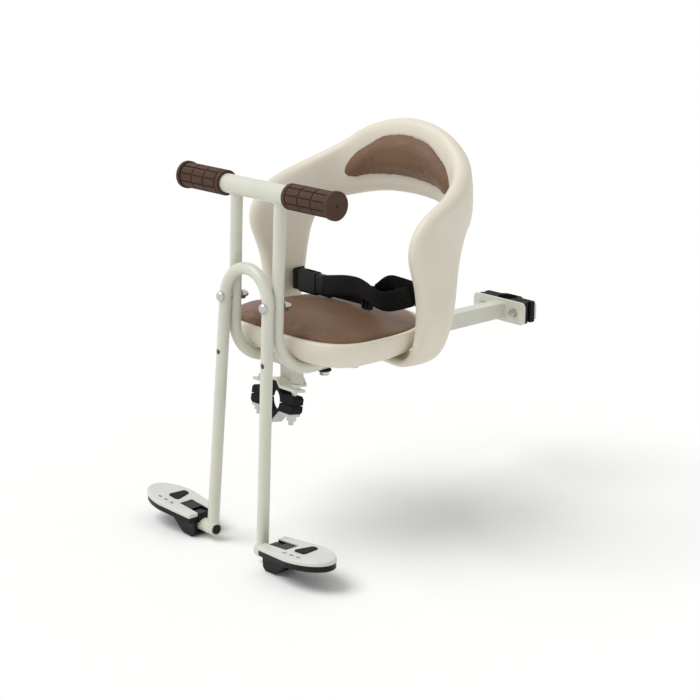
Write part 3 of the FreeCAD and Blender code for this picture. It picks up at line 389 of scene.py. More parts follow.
def end_tree(tree: bpy.types.NodeTree, shape: bpy.types.Node, finish: Finish) -> bpy.types.NodeTree:
    """Close a geometry tree with real geometry in one finish.

    Args:
        tree: The tree.
        shape: Node that gives the shape.
        finish: Its finish.

    Returns:
        The same tree.
    """
    real = add_node(tree, "GeometryNodeRealizeInstances", links={"Geometry": shape})
    dressed = add_node(tree, "GeometryNodeSetMaterial", {"Material": finish.material()}, {"Geometry": real})
    add_node(tree, "NodeGroupOutput", links={"Geometry": dressed})
    return tree


def laid_along(name: str, lines: Sequence[Sequence[Vector]], closed: bool, tree: bpy.types.NodeTree,
               sizes: dict[str, float]) -> bpy.types.Object:
    """Run a geometry tree on lines and keep its result as a plain mesh.

    Args:
        name: Name of the piece.
        lines: Lines of points.
        closed: Whether each line ends where it starts.
        tree: Geometry tree that follows the lines.
        sizes: The tree's inputs in metres, or as bare shares.

    Returns:
        The piece.
    """
    points: list[Vector] = []
    edges: list[tuple[int, int]] = []
    for line in lines:
        first = len(points)
        points.extend(point * MM for point in line)
        edges.extend((number, number + 1) for number in range(first, len(points) - 1))
        if closed:
            edges.append((len(points) - 1, first))
    mesh = bpy.data.meshes.new(name + "_lines")
    mesh.from_pydata(points, edges, [])
    guide = new_object(name + "_guide", mesh)
    modifier = guide.modifiers.new(tree.name, "NODES")
    modifier.node_group = tree
    for item in tree.interface.items_tree:
        if item.name in sizes:
            modifier[item.identifier] = sizes[item.name]
    result = plain_mesh(guide)
    bpy.data.objects.remove(guide)
    return new_object(name, result)


@dataclass(frozen=True)
class WeldBeads:
    """Rippled weld beads under the paint, where tubes meet.

    Attributes:
        radius: Radius of a bead.
        ripple: Length of one ripple.
        depth: Height of a ripple as a share of the radius.
        ripple_steps: Mesh steps along one ripple.
        ring_points: Points round a bead.
        saddle_points: Points of the line round a tube's end.
    """

    radius: float = 1.5
    ripple: float = 2.4
    depth: float = 0.12
    ripple_steps: float = 6.0
    ring_points: int = 10
    saddle_points: int = 72

    @cache
    def tree(self) -> bpy.types.NodeTree:
        """Make the geometry tree once and give it back on later calls.

        Returns:
            The tree.
        """
        tree, given, curves = line_tree("weld_bead", ("Bead Radius", "Ripple Length", "Ripple Depth"))
        ripple = given.outputs["Ripple Length"]
        step = add_node(tree, "ShaderNodeMath", {1: self.ripple_steps}, {0: ripple}, operation="DIVIDE")
        even = add_node(tree, "GeometryNodeResampleCurve", mode="LENGTH",
                        links={"Curve": curves, "Length": step})
        run = add_node(tree, "GeometryNodeSplineParameter")
        count = add_node(tree, "ShaderNodeMath", links={0: run.outputs["Length"], 1: ripple},
                         operation="DIVIDE")
        turn = add_node(tree, "ShaderNodeMath", {1: math.tau}, {0: count}, operation="MULTIPLY")
        wave = add_node(tree, "ShaderNodeMath", links={0: turn}, operation="SINE")
        swell = add_node(tree, "ShaderNodeMath", {2: 1.0}, {0: wave, 1: given.outputs["Ripple Depth"]},
                         operation="MULTIPLY_ADD")
        ring = add_node(tree, "GeometryNodeCurvePrimitiveCircle", {"Resolution": self.ring_points},
                        {"Radius": given.outputs["Bead Radius"]})
        bead = add_node(tree, "GeometryNodeCurveToMesh",
                        links={"Curve": even, "Profile Curve": ring, "Scale": swell})
        return end_tree(tree, bead, CREAM_PAINT)

    def saddle(self, centre: Vector, branch: Vector, radius: float, main: Vector,
               main_radius: float) -> list[Vector]:
        """Find the line where a round tube stands on a thicker one.

        Args:
            centre: Point where the axes meet.
            branch: Direction of the thinner tube, away from the joint.
            radius: Its radius.
            main: Direction of the thicker tube.
            main_radius: Its radius.

        Returns:
            Points of the closed line.
        """
        along = branch.normalized()
        first = main.cross(along).normalized()
        second = along.cross(first)
        flat = along - main * along.dot(main)
        square = flat.length_squared
        line = []
        for number in range(self.saddle_points):
            turn = math.tau * number / self.saddle_points
            side = (first * math.cos(turn) + second * math.sin(turn)) * radius
            off = side - main * side.dot(main)
            lean = off.dot(flat)
            run = (math.sqrt(lean ** 2 - square * (off.length_squared - main_radius ** 2)) - lean) / square
            line.append(centre + side + along * run)
        return line

    def build(self, name: str, lines: Sequence[Sequence[Vector]]) -> None:
        """Lay beads along closed lines.

        Args:
            name: Name of the piece.
            lines: Lines of points.
        """
        sizes = {"Bead Radius": self.radius * MM, "Ripple Length": self.ripple * MM,
                 "Ripple Depth": self.depth}
        beads = laid_along(name, lines, True, self.tree(), sizes)
        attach(beads, ROOT_BODY)
        log.info("welded %s, %d beads", name, len(lines))


@dataclass(frozen=True)
class PaddedPiece:
    """A stuffed piece that is blown up by a cloth simulation inside its solid's place.

    Attributes:
        node: Solid that the piece stands for.
        voxel: Size of the remeshed cells.
        shrink: How far the start shape is drawn in.
        smoothing: Passes that even out the remeshed cells.
        swell: Furthest that a point may move.
        held_depth: Thickness of the stretch that keeps its place.
        hold: Direction towards the side that lies on something and keeps its place.
        pressure: Air pressure in the simulation.
        front_swell: Furthest that a point may move in front of the belt.
        belt_front: The belt's front on the Y axis.
        front_run: Length over which the swelling grows in front of the belt.
        fade: Thickness over which the swelling sets in.
        fill: How tightly it is stuffed, from nought to one; not used.
        merge_gap: Distance under which loose corners of the solid's mesh are one.
        steps: Steps of the simulation.
        quality: Solver passes in one step.
    """

    node: str
    voxel: float
    shrink: float
    smoothing: int
    swell: float
    held_depth: float
    hold: tuple[float, float, float]
    pressure: float
    front_swell: float = 0.0
    belt_front: float = -300.0
    front_run: float = 60.0
    fade: float = 4.0
    fill: float = 0.7
    merge_gap: float = 0.02
    steps: int = 20
    quality: int = 4

    def start_shape(self) -> bpy.types.Object:
        """Copy the solid, draw it in a little and remesh it evenly.

        Returns:
            The remeshed piece.
        """
        shape = bmesh.new()
        shape.from_mesh(frame["nodes"][self.node].data)
        bmesh.ops.remove_doubles(shape, verts=shape.verts, dist=self.merge_gap * MM)
        shape.normal_update()
        for vertex in shape.verts:
            vertex.co -= vertex.normal * self.shrink * MM
        name = self.node + "_start"
        start = new_object(name, mesh_of(shape, name))
        remesh = start.modifiers.new("even", "REMESH")
        remesh.mode = "VOXEL"
        remesh.voxel_size = self.voxel * MM
        even_out = start.modifiers.new("even_out", "SMOOTH")
        even_out.iterations = self.smoothing
        even = plain_mesh(start)
        bpy.data.objects.remove(start)
        return new_object(self.node + "_padded", even)

    def inflate(self, piece: bpy.types.Object) -> list[Vector]:
        """Run the cloth simulation.

        Args:
            piece: Remeshed piece.

        Returns:
            Each vertex's place at the end.
        """
        cloth = piece.modifiers.new("air", "CLOTH")
        cloth.settings.use_pressure = True
        cloth.settings.uniform_pressure_force = self.pressure
        cloth.settings.effector_weights.gravity = 0.0
        cloth.settings.quality = self.quality
        cloth.point_cache.frame_start = 1
        cloth.point_cache.frame_end = self.steps
        scene = bpy.context.scene
        for number in range(1, self.steps + 1):
            scene.frame_set(number)
        ends = [vertex.co.copy() for vertex in plain_mesh(piece).vertices]
        piece.modifiers.remove(cloth)
        scene.frame_set(1)
        return ends

    def held_share(self, depth: float) -> float:
        """Give the share of the swelling that a point takes.

        Args:
            depth: Distance from the held side in metres.

        Returns:
            Nought on the held side, rising to one further up.
        """
        step = min(max((depth - self.held_depth * MM) / (self.fade * MM), 0.0), 1.0)
        return step * step * (3 - 2 * step)

    def most_swell(self, y: float) -> float:
        """Give the furthest that a point may move, which grows in front of the belt.

        Args:
            y: The point's place in metres.

        Returns:
            The distance in metres.
        """
        step = min(max((self.belt_front - y / MM) / self.front_run, 0.0), 1.0)
        return (self.swell + max(self.front_swell - self.swell, 0.0) * step) * MM

    def build(self) -> None:
        piece = self.start_shape()
        down = Vector(self.hold)
        floor = max(vertex.co.dot(down) for vertex in piece.data.vertices)
        for vertex, end in zip(piece.data.vertices, self.inflate(piece)):
            move = (end - vertex.co) * self.held_share(floor - vertex.co.dot(down))
            most = self.most_swell(vertex.co.y)
            if move.length > most:
                move = move.normalized() * most
            vertex.co += move
        smooth = piece.modifiers.new("smooth", "SUBSURF")
        smooth.levels = smooth.render_levels = 1
        piece.data.materials.append(BROWN_LEATHER.material())
        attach(piece, ROOT_BODY)
        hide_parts(self.node)
        log.info("padded %s", piece.name)


@cache
def stitch_tree() -> bpy.types.NodeTree:
    """Make the geometry tree of a row of stitches once and give it back on later calls.

    Returns:
        The tree.
    """
    tree, given, curves = line_tree("stitch_row", ("Pitch", "Stitch Length", "Thread"))
    thread = given.outputs["Thread"]
    even = add_node(tree, "GeometryNodeResampleCurve", mode="LENGTH",
                    links={"Curve": curves, "Length": given.outputs["Pitch"]})
    tangent = add_node(tree, "GeometryNodeInputTangent")
    turn = add_node(tree, "FunctionNodeAlignRotationToVector", links={"Vector": tangent}, axis="X")
    size = add_node(tree, "ShaderNodeCombineXYZ",
                    links={"X": given.outputs["Stitch Length"], "Y": thread, "Z": thread})
    # A ball one metre across becomes a stitch of the given length and thickness.
    ball = add_node(tree, "GeometryNodeMeshIcoSphere", {"Radius": 0.5, "Subdivisions": 1})
    row = add_node(tree, "GeometryNodeInstanceOnPoints",
                   links={"Points": even, "Instance": ball, "Rotation": turn, "Scale": size})
    return end_tree(tree, row, BLACK_THREAD)


@dataclass
class Strap:
    """A length of webbing along a smooth line, with its width upright and a roll at each point.

    Attributes:
        name: Name of the piece.
        node: Solid that it stands for.
        points: X, Y, Z and the roll in degrees at each point of the line.
        held: How the webbing is held; not used.
        rests_on: What it lies on or hangs from; not used.
        sewn: Start and end of the sewn box along the webbing, from its end where negative.
        front: Which face of the webbing shows, one or minus one.
        width: Width of the webbing.
        thickness: Thickness of the webbing.
        step: Length of one mesh step.
        box_half: Half the height of the sewn box.
        pitch: Distance from stitch to stitch.
        stitch: Length of a stitch.
        thread: Thickness of the thread.
        seam_steps: Steps in which a seam follows the webbing.
        frames: Length so far, place, width direction and outward direction along the line, worked out.
        length: Length of the webbing, worked out.
    """

    name: str
    node: str
    points: Sequence[tuple[float, float, float, float]]
    held: Held
    rests_on: list[str]
    sewn: tuple[float, float]
    front: int = 1
    width: float = 25.0
    thickness: float = 1.9
    step: float = 2.0
    box_half: float = 9.0
    pitch: float = 2.6
    stitch: float = 2.1
    thread: float = 0.7
    seam_steps: int = 8
    frames: list[tuple[float, Vector, Vector, Vector]] = field(init=False)
    length: float = field(init=False)

    def __post_init__(self) -> None:
        """Work out the webbing's local directions along its line."""
        line = self.line()
        self.frames = []
        run = 0.0
        for number, (place, roll) in enumerate(line):
            before = line[max(number - 1, 0)][0]
            after = line[min(number + 1, len(line) - 1)][0]
            along = (after - before).normalized()
            upright = (Z_AXIS - along * Z_AXIS.dot(along)).normalized()
            upright = Matrix.Rotation(roll, 3, along) @ upright
            run += (place - before).length
            self.frames.append((run, place, upright, along.cross(upright)))
        self.length = run

    def line(self) -> list[tuple[Vector, float]]:
        """Sample the smooth line through the points.

        Returns:
            Places with their roll in radians.
        """
        ends = [self.points[0], *self.points, self.points[-1]]
        found = []
        for before, start, end, after in zip(ends, ends[1:], ends[2:], ends[3:]):
            length = (Vector(end[:3]) - Vector(start[:3])).length
            count = max(int(length / self.step), 1)
            for number in range(count):
                share = number / count
                values = []
                for p0, p1, p2, p3 in zip(before, start, end, after):
                    slope = p2 - p0
                    bend = 2 * p0 - 5 * p1 + 4 * p2 - p3
                    change = 3 * p1 - p0 - 3 * p2 + p3
                    values.append((2 * p1 + slope * share + bend * share ** 2 + change * share ** 3) / 2)
                found.append((Vector(values[:3]), math.radians(values[3])))
        found.append((Vector(self.points[-1][:3]), math.radians(self.points[-1][3])))
        return found

    def section(self) -> list[tuple[float, float]]:
        """Give the webbing's flat section with round edges.

        Returns:
            Places across and through the webbing.
        """
        half = self.width / 2
        thick = self.thickness / 2
        across = [-half + thick, -half / 2, 0.0, half / 2, half - thick]
        back = [(place, -thick) for place in across]
        front = [(place, thick) for place in reversed(across)]
        return back + [(half, 0.0)] + front + [(-half, 0.0)]

    def ribbon(self) -> bpy.types.Mesh:
        """Make the webbing's closed mesh, with its UV map in metres along and across it.

        Returns:
            The mesh.
        """
        section = self.section()
        count = len(section)
        shape = bmesh.new()
        layer = shape.loops.layers.uv.new("UVMap")
        rings = []
        for _, place, upright, outward in self.frames:
            rings.append([shape.verts.new((place + upright * across + outward * through) * MM)
                          for across, through in section])
        for number in range(len(rings) - 1):
            for place in range(count):
                following = (place + 1) % count
                corners = [(number, place), (number + 1, place), (number + 1, following), (number, following)]
                face = shape.faces.new([rings[row][column] for row, column in corners])
                for loop, (row, column) in zip(face.loops, corners):
                    loop[layer].uv = (self.frames[row][0] * MM, section[column][0] * MM)
        for ring in (rings[0], rings[-1]):
            shape.faces.new(ring)
        bmesh.ops.recalc_face_normals(shape, faces=shape.faces)
        return mesh_of(shape, self.name)

    def surface(self, run: float, across: float) -> Vector:
        """Find a place on the face that shows.

        Args:
            run: Length along the webbing.
            across: Place across it.

        Returns:
            The place.
        """
        for (start, place, upright, outward), (end, next_place, next_upright, next_outward) in zip(
                self.frames, self.frames[1:]):
            if run <= end:
                break
        share = (run - start) / (end - start)
        middle = place.lerp(next_place, share)
        rise = upright.lerp(next_upright, share)
        out = outward.lerp(next_outward, share)
        return middle + rise * across + out * (self.front * self.thickness / 2)

    def stitches(self) -> bpy.types.Object:
        """Sew a box with a cross in it onto the webbing.

        Returns:
            The piece of stitches.
        """
        start, end = (place if place >= 0 else self.length + place for place in self.sewn)
        half = self.box_half
        corners = [Vector(corner) for corner in ((start, -half), (end, -half), (end, half), (start, half))]
        lines = []
        for first, second in ((0, 1), (1, 2), (2, 3), (3, 0), (0, 2), (1, 3)):
            lines.append([self.surface(*corners[first].lerp(corners[second], number / self.seam_steps))
                          for number in range(self.seam_steps + 1)])
        sizes = {"Pitch": self.pitch * MM, "Stitch Length": self.stitch * MM, "Thread": self.thread * MM}
        return laid_along(self.name + "_stitches", lines, False, stitch_tree(), sizes)

    def build(self) -> None:
        piece = new_object(self.name, self.ribbon())
        piece.data.materials.append(BLACK_WEBBING.material())
        stitches = self.stitches()
        for part in (piece, stitches):
            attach(part, ROOT_BODY)
        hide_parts(self.node)
        log.info("strap %s, %.0f mm long", piece.name, self.length)


@dataclass
class Assembly:
    """A group of solids that is dressed together.

    Attributes:
        nodes: Names of its solids.
    """

    nodes: tuple[str, ...]

    def dress(self) -> None:
        """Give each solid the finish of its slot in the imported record."""
        for name in self.nodes:
            materials = frame["nodes"][name].data.materials
            materials.clear()
            materials.append(SLOT_FINISHES[NODE_SLOTS[name]].material())
            log.info("dressed %s", name)

    def build(self) -> None:
        """Dress the solids."""
        self.dress()


@dataclass
class TubeFrame(Assembly):
    """Handlebar, posts, cross tubes and beam, with the weld beads that show.

    Attributes:
        post_x: Distance of a post from the middle.
        bar_y: Place of the handlebar's axis.
        bar_z: Height of the handlebar's axis.
        bar_radius: Radius of the handlebar.
        tube_radius: Radius of a post.
        lean: Lean of the posts in degrees.
        plate_y: Front face of the rear clamp's plate.
        beam_half: Half the side of the square beam.
        beam_corner: Radius of the beam's corners.
        corner_steps: Steps round one corner of the beam.
    """

    nodes: tuple[str, ...] = ("handlebar_tube", "left_handle_post", "right_handle_post", "front_cross_tube",
                              "rear_cross_tube", "main_beam", "clamp_stem", "rear_clamp_plate")
    post_x: float = 38.0
    bar_y: float = -410.0
    bar_z: float = 204.0
    bar_radius: float = 11.0
    tube_radius: float = 7.0
    lean: float = 2.4
    plate_y: float = -16.6
    beam_half: float = 10.0
    beam_corner: float = 2.0
    corner_steps: int = 6

    def beam_line(self) -> list[Vector]:
        """Trace the beam's outline where it meets the plate.

        Returns:
            Points of the closed line.
        """
        inner = self.beam_half - self.beam_corner
        line = []
        for number, (x, z) in enumerate(((1, 1), (-1, 1), (-1, -1), (1, -1))):
            corner = Vector((x * inner, self.plate_y, z * inner))
            for step in range(self.corner_steps + 1):
                turn = math.radians(90 * (number + step / self.corner_steps))
                line.append(corner + Vector((math.cos(turn), 0, math.sin(turn))) * self.beam_corner)
        return line

    def build(self) -> None:
        """Dress the tubes and lay the beads."""
        self.dress()
        beads = WeldBeads()
        lean = math.radians(self.lean)
        down = Vector((0, -math.sin(lean), -math.cos(lean)))
        lines = [self.beam_line()]
        for side in Side:
            centre = Vector((side.value * self.post_x, self.bar_y, self.bar_z))
            lines.append(beads.saddle(centre, down, self.tube_radius, X_AXIS, self.bar_radius))
        beads.build("frame_weld_beads", lines)


@dataclass
class FootFrame(Assembly):
    """Bent foot frame with its pivot stubs, their weld beads, black discs of painted shade in their open ends and
    the black caps on their knuckles.

    Attributes:
        leg_reach: Distance along a stub from the leg's axis to the hinge.
        splay: Sideways slope of a leg in degrees.
        lean: Forward slope of a leg in degrees.
        tube_radius: Radius of a leg.
        stub_radius: Radius of a stub.
        cap_reach: How far a cap reaches to both sides of the hinge.
        cap_half: Half its width.
        cap_low: Height of its lower edge over the hinge.
        cap_high: Height of its top over the hinge.
        cap_round: Radius of its edges.
        cap_steps: Steps round one of its edges.
        stub_end: Distance of a stub's inner end from the middle.
        plug_proud: How far the black disc of painted shade stands out of the stub.
        plug_length: Length of the disc.
        plug_radius: Its radius.
        plug_sides: Flat sides of its round mesh.
    """

    nodes: tuple[str, ...] = ("foot_frame", "left_pedal_stub", "right_pedal_stub", "foot_frame_bolts",
                              "foot_frame_nuts")
    leg_reach: float = 25.0
    splay: float = 1.64
    lean: float = 3.9
    tube_radius: float = 7.0
    stub_radius: float = 8.0
    cap_reach: float = 8.5
    cap_half: float = 7.8
    cap_low: float = 2.0
    cap_high: float = 14.4
    cap_round: float = 2.2
    cap_steps: int = 4
    stub_end: float = 39.5
    plug_proud: float = 0.7
    plug_length: float = 3.0
    plug_radius: float = 5.95
    plug_sides: int = 48

    def cap(self, side: Side) -> None:
        """Mould a knuckle cap.

        Args:
            side: The stub's side.
        """
        shape = bmesh.new()
        bmesh.ops.create_cube(shape, size=1.0)
        size = Vector((2 * self.cap_reach, 2 * self.cap_half, self.cap_high - self.cap_low))
        middle = LEFT_HINGE + Z_AXIS * (self.cap_low + self.cap_high) / 2
        for vertex in shape.verts:
            vertex.co = (middle + vertex.co * size) * MM
        bmesh.ops.bevel(shape, geom=shape.edges[:], offset=self.cap_round * MM, segments=self.cap_steps,
                        profile=ROUND_PROFILE, affect="EDGES")
        for vertex in shape.verts:
            vertex.co.x *= side.value
        black_moulding(shape, side.word + "_knuckle_cap", ROOT_BODY, smooth=True)

    def plug(self, side: Side) -> None:
        """Put a black disc into a stub's open inner end, as painted shade for the dark inside of the tube.

        Args:
            side: The stub's side.
        """
        # Painted shade: this black disc stands in for the dark inside of the open stub end.
        shape = bmesh.new()
        x = side.value * (self.stub_end - self.plug_proud + self.plug_length / 2)
        middle = Vector((x, LEFT_HINGE.y, LEFT_HINGE.z)) * MM
        place = Matrix.Translation(middle) @ Matrix.Rotation(math.radians(90), 4, "Y")
        radius = self.plug_radius * MM
        bmesh.ops.create_cone(shape, cap_ends=True, segments=self.plug_sides, radius1=radius, radius2=radius,
                              depth=self.plug_length * MM, matrix=place)
        black_moulding(shape, side.word + "_stub_plug", ROOT_BODY, smooth=False)

    def build(self) -> None:
        """Dress the frame, lay the beads and put on the caps and the discs of painted shade."""
        self.dress()
        beads = WeldBeads()
        splay = math.radians(self.splay)
        lean = math.radians(self.lean)
        rise = Vector((0, math.sin(lean), math.cos(lean))) * math.cos(splay)
        lines = []
        for side in Side:
            leg = rise - X_AXIS * side.value * math.sin(splay)
            end = Vector((side.value * (LEFT_HINGE.x - self.leg_reach), LEFT_HINGE.y, LEFT_HINGE.z))
            lines.append(beads.saddle(end, leg, self.tube_radius, X_AXIS, self.stub_radius))
            self.cap(side)
            self.plug(side)
        beads.build("foot_frame_weld_beads", lines)


@dataclass
class Pedal(Assembly):
    """Folding pedal, with the black lining that its base raises inside the tread's notch.

    Attributes:
        side: Its side.
        rise: Slope of the tread in degrees.
        inner: Inner end of the notch, measured from the hinge.
        notch_end: Outer end of the notch.
        notch_half: Half the notch's width.
        notch_gap: Room between the lining and the tread.
        wall: Thickness of the lining.
        low: Height of its lower edge over the hinge.
        high: Height of its upper edge.
        panel_start: Inner end of the panel that closes the notch's outer part.
        panel_low: Height of the panel's underside.
        panel_gap: Room between the panel and the lining.
    """

    side: Side = Side.LEFT
    rise: float = 4.0
    inner: float = -6.5
    notch_end: float = 29.0
    notch_half: float = 9.5
    notch_gap: float = 0.03
    wall: float = 0.8
    low: float = 9.4
    high: float = 15.8
    panel_start: float = 9.0
    panel_low: float = 14.8
    panel_gap: float = 0.02

    def prism(self, shape: bmesh.types.BMesh, plan: Sequence[tuple[float, float]],
              ends: Sequence[tuple[int, int, int, int]], low: float) -> None:
        """Raise a closed outline up to the lining's upper edge.

        Args:
            shape: Mesh that gets the faces.
            plan: Outline in the pedal's own directions, measured from the hinge.
            ends: Corner numbers of the faces that close it at both ends.
            low: Height of its lower end.
        """
        turn = Matrix.Rotation(-math.radians(self.rise), 3, "Y")
        rings = []
        for height in (low, self.high):
            ring = []
            for x, y in plan:
                place = turn @ Vector((x, y, height)) + LEFT_HINGE
                place.x *= self.side.value
                ring.append(shape.verts.new(place * MM))
            rings.append(ring)
        for number in range(len(plan)):
            following = (number + 1) % len(plan)
            shape.faces.new([rings[0][number], rings[0][following], rings[1][following], rings[1][number]])
        for ring in rings:
            for corners in ends:
                shape.faces.new([ring[corner] for corner in corners])

    def lining(self) -> None:
        """Make the thin wall that lines the notch and the panel that closes its outer part."""
        outer = self.notch_half - self.notch_gap
        far = self.notch_end - self.notch_gap
        inside = outer - self.wall
        back = far - self.wall
        plan = [(self.inner, -outer), (far, -outer), (far, outer), (self.inner, outer),
                (self.inner, inside), (back, inside), (back, -inside), (self.inner, -inside)]
        shape = bmesh.new()
        self.prism(shape, plan, ((0, 1, 6, 7), (1, 2, 5, 6), (2, 3, 4, 5)), self.low)
        half = inside - self.panel_gap
        end = back - self.panel_gap
        panel = [(self.panel_start, -half), (end, -half), (end, half), (self.panel_start, half)]
        self.prism(shape, panel, ((0, 1, 2, 3),), self.panel_low)
        black_moulding(shape, self.side.word + "_notch_lining", self.side.word + "_pedal", smooth=False)

    def build(self) -> None:
        """Dress the pedal and line its notch."""
        self.dress()
        self.lining()


@dataclass
class Seat(Assembly):
    """Seat shell with its fasteners and the padded cushion.

    Attributes:
        cushion: The cushion, which lies on the shell and swells in front of the belt.
    """

    nodes: tuple[str, ...] = ("seat_shell", "seat_bolts", "seat_washers")
    cushion: PaddedPiece = PaddedPiece("seat_cushion", voxel=2.8, shrink=0.2, smoothing=12, swell=0.3,
                                       held_depth=3.0, hold=(0.0, 0.0, -1.0), pressure=4.0, front_swell=5.0)

    def build(self) -> None:
        """Dress the shell and stuff the cushion."""
        self.dress()
        self.cushion.build()


@dataclass
class Backrest(Assembly):
    """Moulded hoop with its bolts and the padded crescent on its rear band.

    Attributes:
        pad: The crescent, whose cells are small because it is thin.
    """

    nodes: tuple[str, ...] = ("backrest_hoop", "hoop_bolts")
    pad: PaddedPiece = PaddedPiece("backrest_pad", voxel=1.6, shrink=0.0, smoothing=26, swell=6.0,
                                   held_depth=2.0, hold=(0.0, 1.0, 0.0), pressure=12.0)

    def build(self) -> None:
        """Dress the hoop and stuff the pad."""
        self.dress()
        self.pad.build()


@dataclass
class Belt(Assembly):
    """Waist belt: buckle, slider and bolts as they are, and the webbing made anew."""

    nodes: tuple[str, ...] = ("buckle_socket", "buckle_tongue", "belt_slider", "belt_bolts")

    def straps(self) -> list[Strap]:
        """Lay out the three lengths of webbing from the buckle's place.

        Returns:
            The straps.
        """
        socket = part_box("buckle_socket")
        start = socket[0].x / MM
        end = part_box("buckle_tongue")[1].x / MM
        y = (socket[0].y + socket[1].y) / 2 / MM
        z = (socket[0].z + socket[1].z) / 2 / MM
        long_points = [
            (end + 0.7, y, z + 1, 0), (-20, y - 2, 63.3, 0), (5, y - 4.0, 64.3, 0), (25, y - 5.6, 65.2, 0),
            (38, y - 6.0, 66, 0), (49, y - 6.0, 68.5, 2), (57, y - 6.4, 77, 36), (63, y - 7.4, 84.5, 68),
            (69, y - 8.2, 87.5, 56), (77, y - 8.6, 88.5, 24), (86, y - 7.8, 86, 6), (95, y - 4.6, 83.5, 2),
            (103, y - 0.6, 81, 0), (110, y + 3, 75.5, 0), (114.6, -257.2, 70.9, 0), (116.3, -252.4, 68.5, 0),
            (116.6, -244.4, 68.5, 0)]
        short_points = [
            (start - 0.5, y, z - 1, 0), (-103.5, y, z - 1.2, 0), (-110, y, z - 1.6, 0),
            (-114.9, y + 2, 59.4, 0), (-116.8, -258.4, 59.3, 0), (-117.0, -252.4, 59.3, 0),
            (-117.2, -244.4, 59.3, 0)]
        tail_points = [
            (end - 6, y - 6.7, 63.5, 0), (-22, y - 12.0, 69.5, 4), (5, y - 16, 75, 8), (28, y - 19, 77, 8),
            (46, y - 22, 75, 8), (62, y - 24.6, 71, 12), (78, y - 23, 70, 12), (92, y - 16.6, 74, 8),
            (104, y - 9.6, 79, 4)]
        return [
            Strap("belt_long_webbing", "belt_long_strap", long_points, Held.STRETCHED, ["backrest_hoop"],
                  sewn=(3.0, 20.0)),
            Strap("belt_short_webbing", "belt_short_strap", short_points, Held.STRETCHED, ["backrest_hoop"],
                  sewn=(1.5, 11.0), front=-1),
            Strap("belt_tail_webbing", "belt_tail", tail_points, Held.HUNG, ["buckle_tongue"],
                  sewn=(-14.0, -3.0)),
        ]

    def build(self) -> None:
        """Dress the fittings and make the webbing."""
        self.dress()
        for strap in self.straps():
            strap.build()


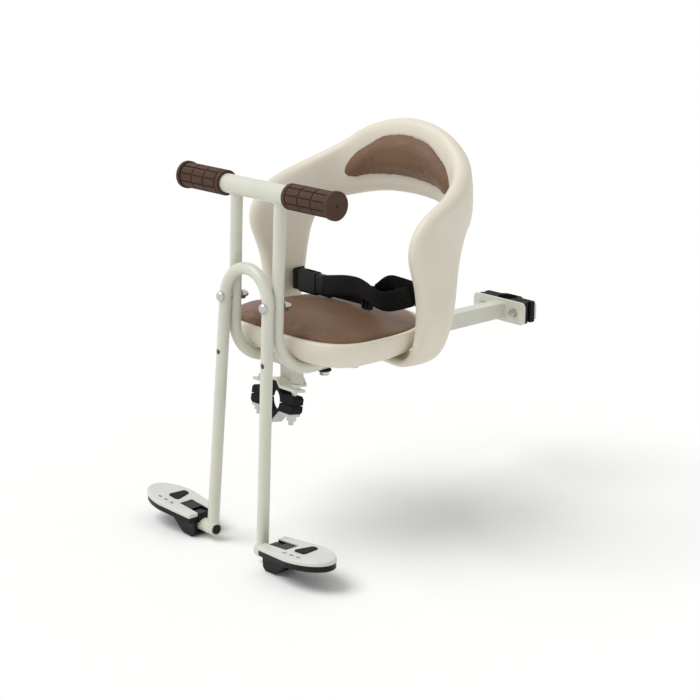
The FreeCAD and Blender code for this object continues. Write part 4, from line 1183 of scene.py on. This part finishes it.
@dataclass
class Studio:
    """Floor, soft light and the camera at the photograph's angle.

    Attributes:
        floor_gap: Room under the lowest point.
        floor_half: Half the floor's side in metres.
        floor_colour: sRGB hex colour of the floor's paper.
        floor_roughness: Spread of its reflection.
        aim: The point that the lamps face, in metres.
        sun_place: The ceiling light's place in metres.
        sun_energy: Its strength in watts per square metre.
        sun_angle: How wide it looks, in degrees.
        fill_place: The fill light's place in metres.
        fill_energy: Its strength in watts.
        fill_size: Its side in metres.
        sky_light: Strength of the sky as a light.
        sky_seen: Strength of the sky where it is seen.
        eye: The camera's place.
        look: The direction in which it looks.
        lens: Its focal length.
        sensor: Width of its sensor.
        sight: The furthest that it sees, in metres.
    """

    floor_gap: float = 0.5
    floor_half: float = 40.0
    floor_colour: str = "#fcfcfb"
    floor_roughness: float = 0.9
    aim: tuple[float, float, float] = (0.0, -0.28, 0.05)
    sun_place: tuple[float, float, float] = (-0.9, -1.5, 2.6)
    sun_energy: float = 1.7
    sun_angle: float = 40.0
    fill_place: tuple[float, float, float] = (2.4, -0.6, 1.2)
    fill_energy: float = 0.6
    fill_size: float = 1.8
    sky_light: float = 0.56
    sky_seen: float = 1.0
    eye: tuple[float, float, float] = (1465.4, -1592.9, 551.5)
    look: tuple[float, float, float] = (-0.715067, 0.643850, -0.272280)
    lens: float = 88.46
    sensor: float = 36.0
    sight: float = 200.0

    def floor(self) -> None:
        """Lay a wide pale floor under the part."""
        low = SOLID_BOUNDS[0].z - self.floor_gap * MM
        half = self.floor_half
        mesh = bpy.data.meshes.new("floor")
        mesh.from_pydata([(-half, -half, low), (half, -half, low), (half, half, low), (-half, half, low)], [],
                         [(0, 1, 2, 3)])
        floor = new_object("floor", mesh)
        material = bpy.data.materials.new("studio_paper")
        material.use_nodes = True
        shader = material.node_tree.nodes["Principled BSDF"]
        shader.inputs["Base Color"].default_value = linear(self.floor_colour)
        shader.inputs["Roughness"].default_value = self.floor_roughness
        mesh.materials.append(material)

    def hang(self, light: bpy.types.Light, place: tuple[float, float, float]) -> None:
        """Put a light in its place and turn it to the part.

        Args:
            light: The light.
            place: Where it hangs, in metres.
        """
        lamp = bpy.data.objects.new(light.name, light)
        lamp.location = place
        lamp.rotation_euler = (Vector(self.aim) - Vector(place)).to_track_quat("-Z", "Y").to_euler()
        bpy.context.scene.collection.objects.link(lamp)

    def lamps(self) -> None:
        """Hang a broad ceiling light and a weak fill from the child's left."""
        sun = bpy.data.lights.new("ceiling", "SUN")
        sun.energy = self.sun_energy
        sun.angle = math.radians(self.sun_angle)
        self.hang(sun, self.sun_place)
        fill = bpy.data.lights.new("fill", "AREA")
        fill.energy = self.fill_energy
        fill.size = self.fill_size
        self.hang(fill, self.fill_place)

    def sky(self) -> None:
        """Surround the part with even pale light, white where the camera or a reflection sees it."""
        world = bpy.data.worlds.new("studio")
        bpy.context.scene.world = world
        world.use_nodes = True
        tree = world.node_tree
        tree.nodes.clear()
        rays = add_node(tree, "ShaderNodeLightPath")
        seen = rays.outputs["Is Camera Ray"]
        for kind in ("Is Glossy Ray", "Is Transmission Ray"):
            seen = add_node(tree, "ShaderNodeMath", links={0: seen, 1: rays.outputs[kind]},
                            operation="MAXIMUM")
        white = linear("#ffffff")
        lit = add_node(tree, "ShaderNodeBackground", {"Color": white, "Strength": self.sky_light})
        bright = add_node(tree, "ShaderNodeBackground", {"Color": white, "Strength": self.sky_seen})
        mix = add_node(tree, "ShaderNodeMixShader", links={0: seen, 1: lit, 2: bright})
        add_node(tree, "ShaderNodeOutputWorld", links={"Surface": mix})

    def camera(self) -> None:
        """Set the camera."""
        data = bpy.data.cameras.new("camera")
        data.sensor_width = self.sensor
        data.lens = self.lens
        data.clip_end = self.sight
        camera = bpy.data.objects.new("camera", data)
        camera.location = Vector(self.eye) * MM
        camera.rotation_euler = Vector(self.look).to_track_quat("-Z", "Y").to_euler()
        bpy.context.scene.collection.objects.link(camera)
        bpy.context.scene.camera = camera

    def build(self) -> None:
        """Set up floor, lamps, sky and camera."""
        bpy.context.scene.view_settings.view_transform = "Standard"
        self.floor()
        self.lamps()
        self.sky()
        self.camera()


PEDAL_PIECES = ("pedal_cover", "pedal_base", "pedal_insert", "pedal_hinge_pin")
ASSEMBLIES: tuple[Assembly, ...] = (
    TubeFrame(),
    Assembly(("left_grip", "right_grip")),
    Seat(),
    Backrest(),
    Belt(),
    Assembly(("front_clamp_cap", "front_clamp_upper_jaw", "front_clamp_lower_jaw", "front_clamp_strap",
              "front_clamp_bolts", "front_clamp_nuts")),
    Assembly(("rear_clamp_front_jaw", "rear_clamp_back_jaw", "rear_clamp_strap", "rear_clamp_bolts",
              "rear_clamp_nuts")),
    FootFrame(),
    *(Pedal(tuple(f"{side.word}_{piece}" for piece in PEDAL_PIECES), side)
      for side in (Side.LEFT, Side.RIGHT)),
)


def write_sizes() -> None:
    """Bring the scene's placements up to date."""
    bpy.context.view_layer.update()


def main() -> None:
    """Build the pieces in order and report each one."""
    logging.basicConfig(level=logging.INFO, format="%(name)s: %(message)s")
    for assembly in ASSEMBLIES:
        assembly.build()
    Studio().build()
    write_sizes()


if __name__ == "__main__":
    main()
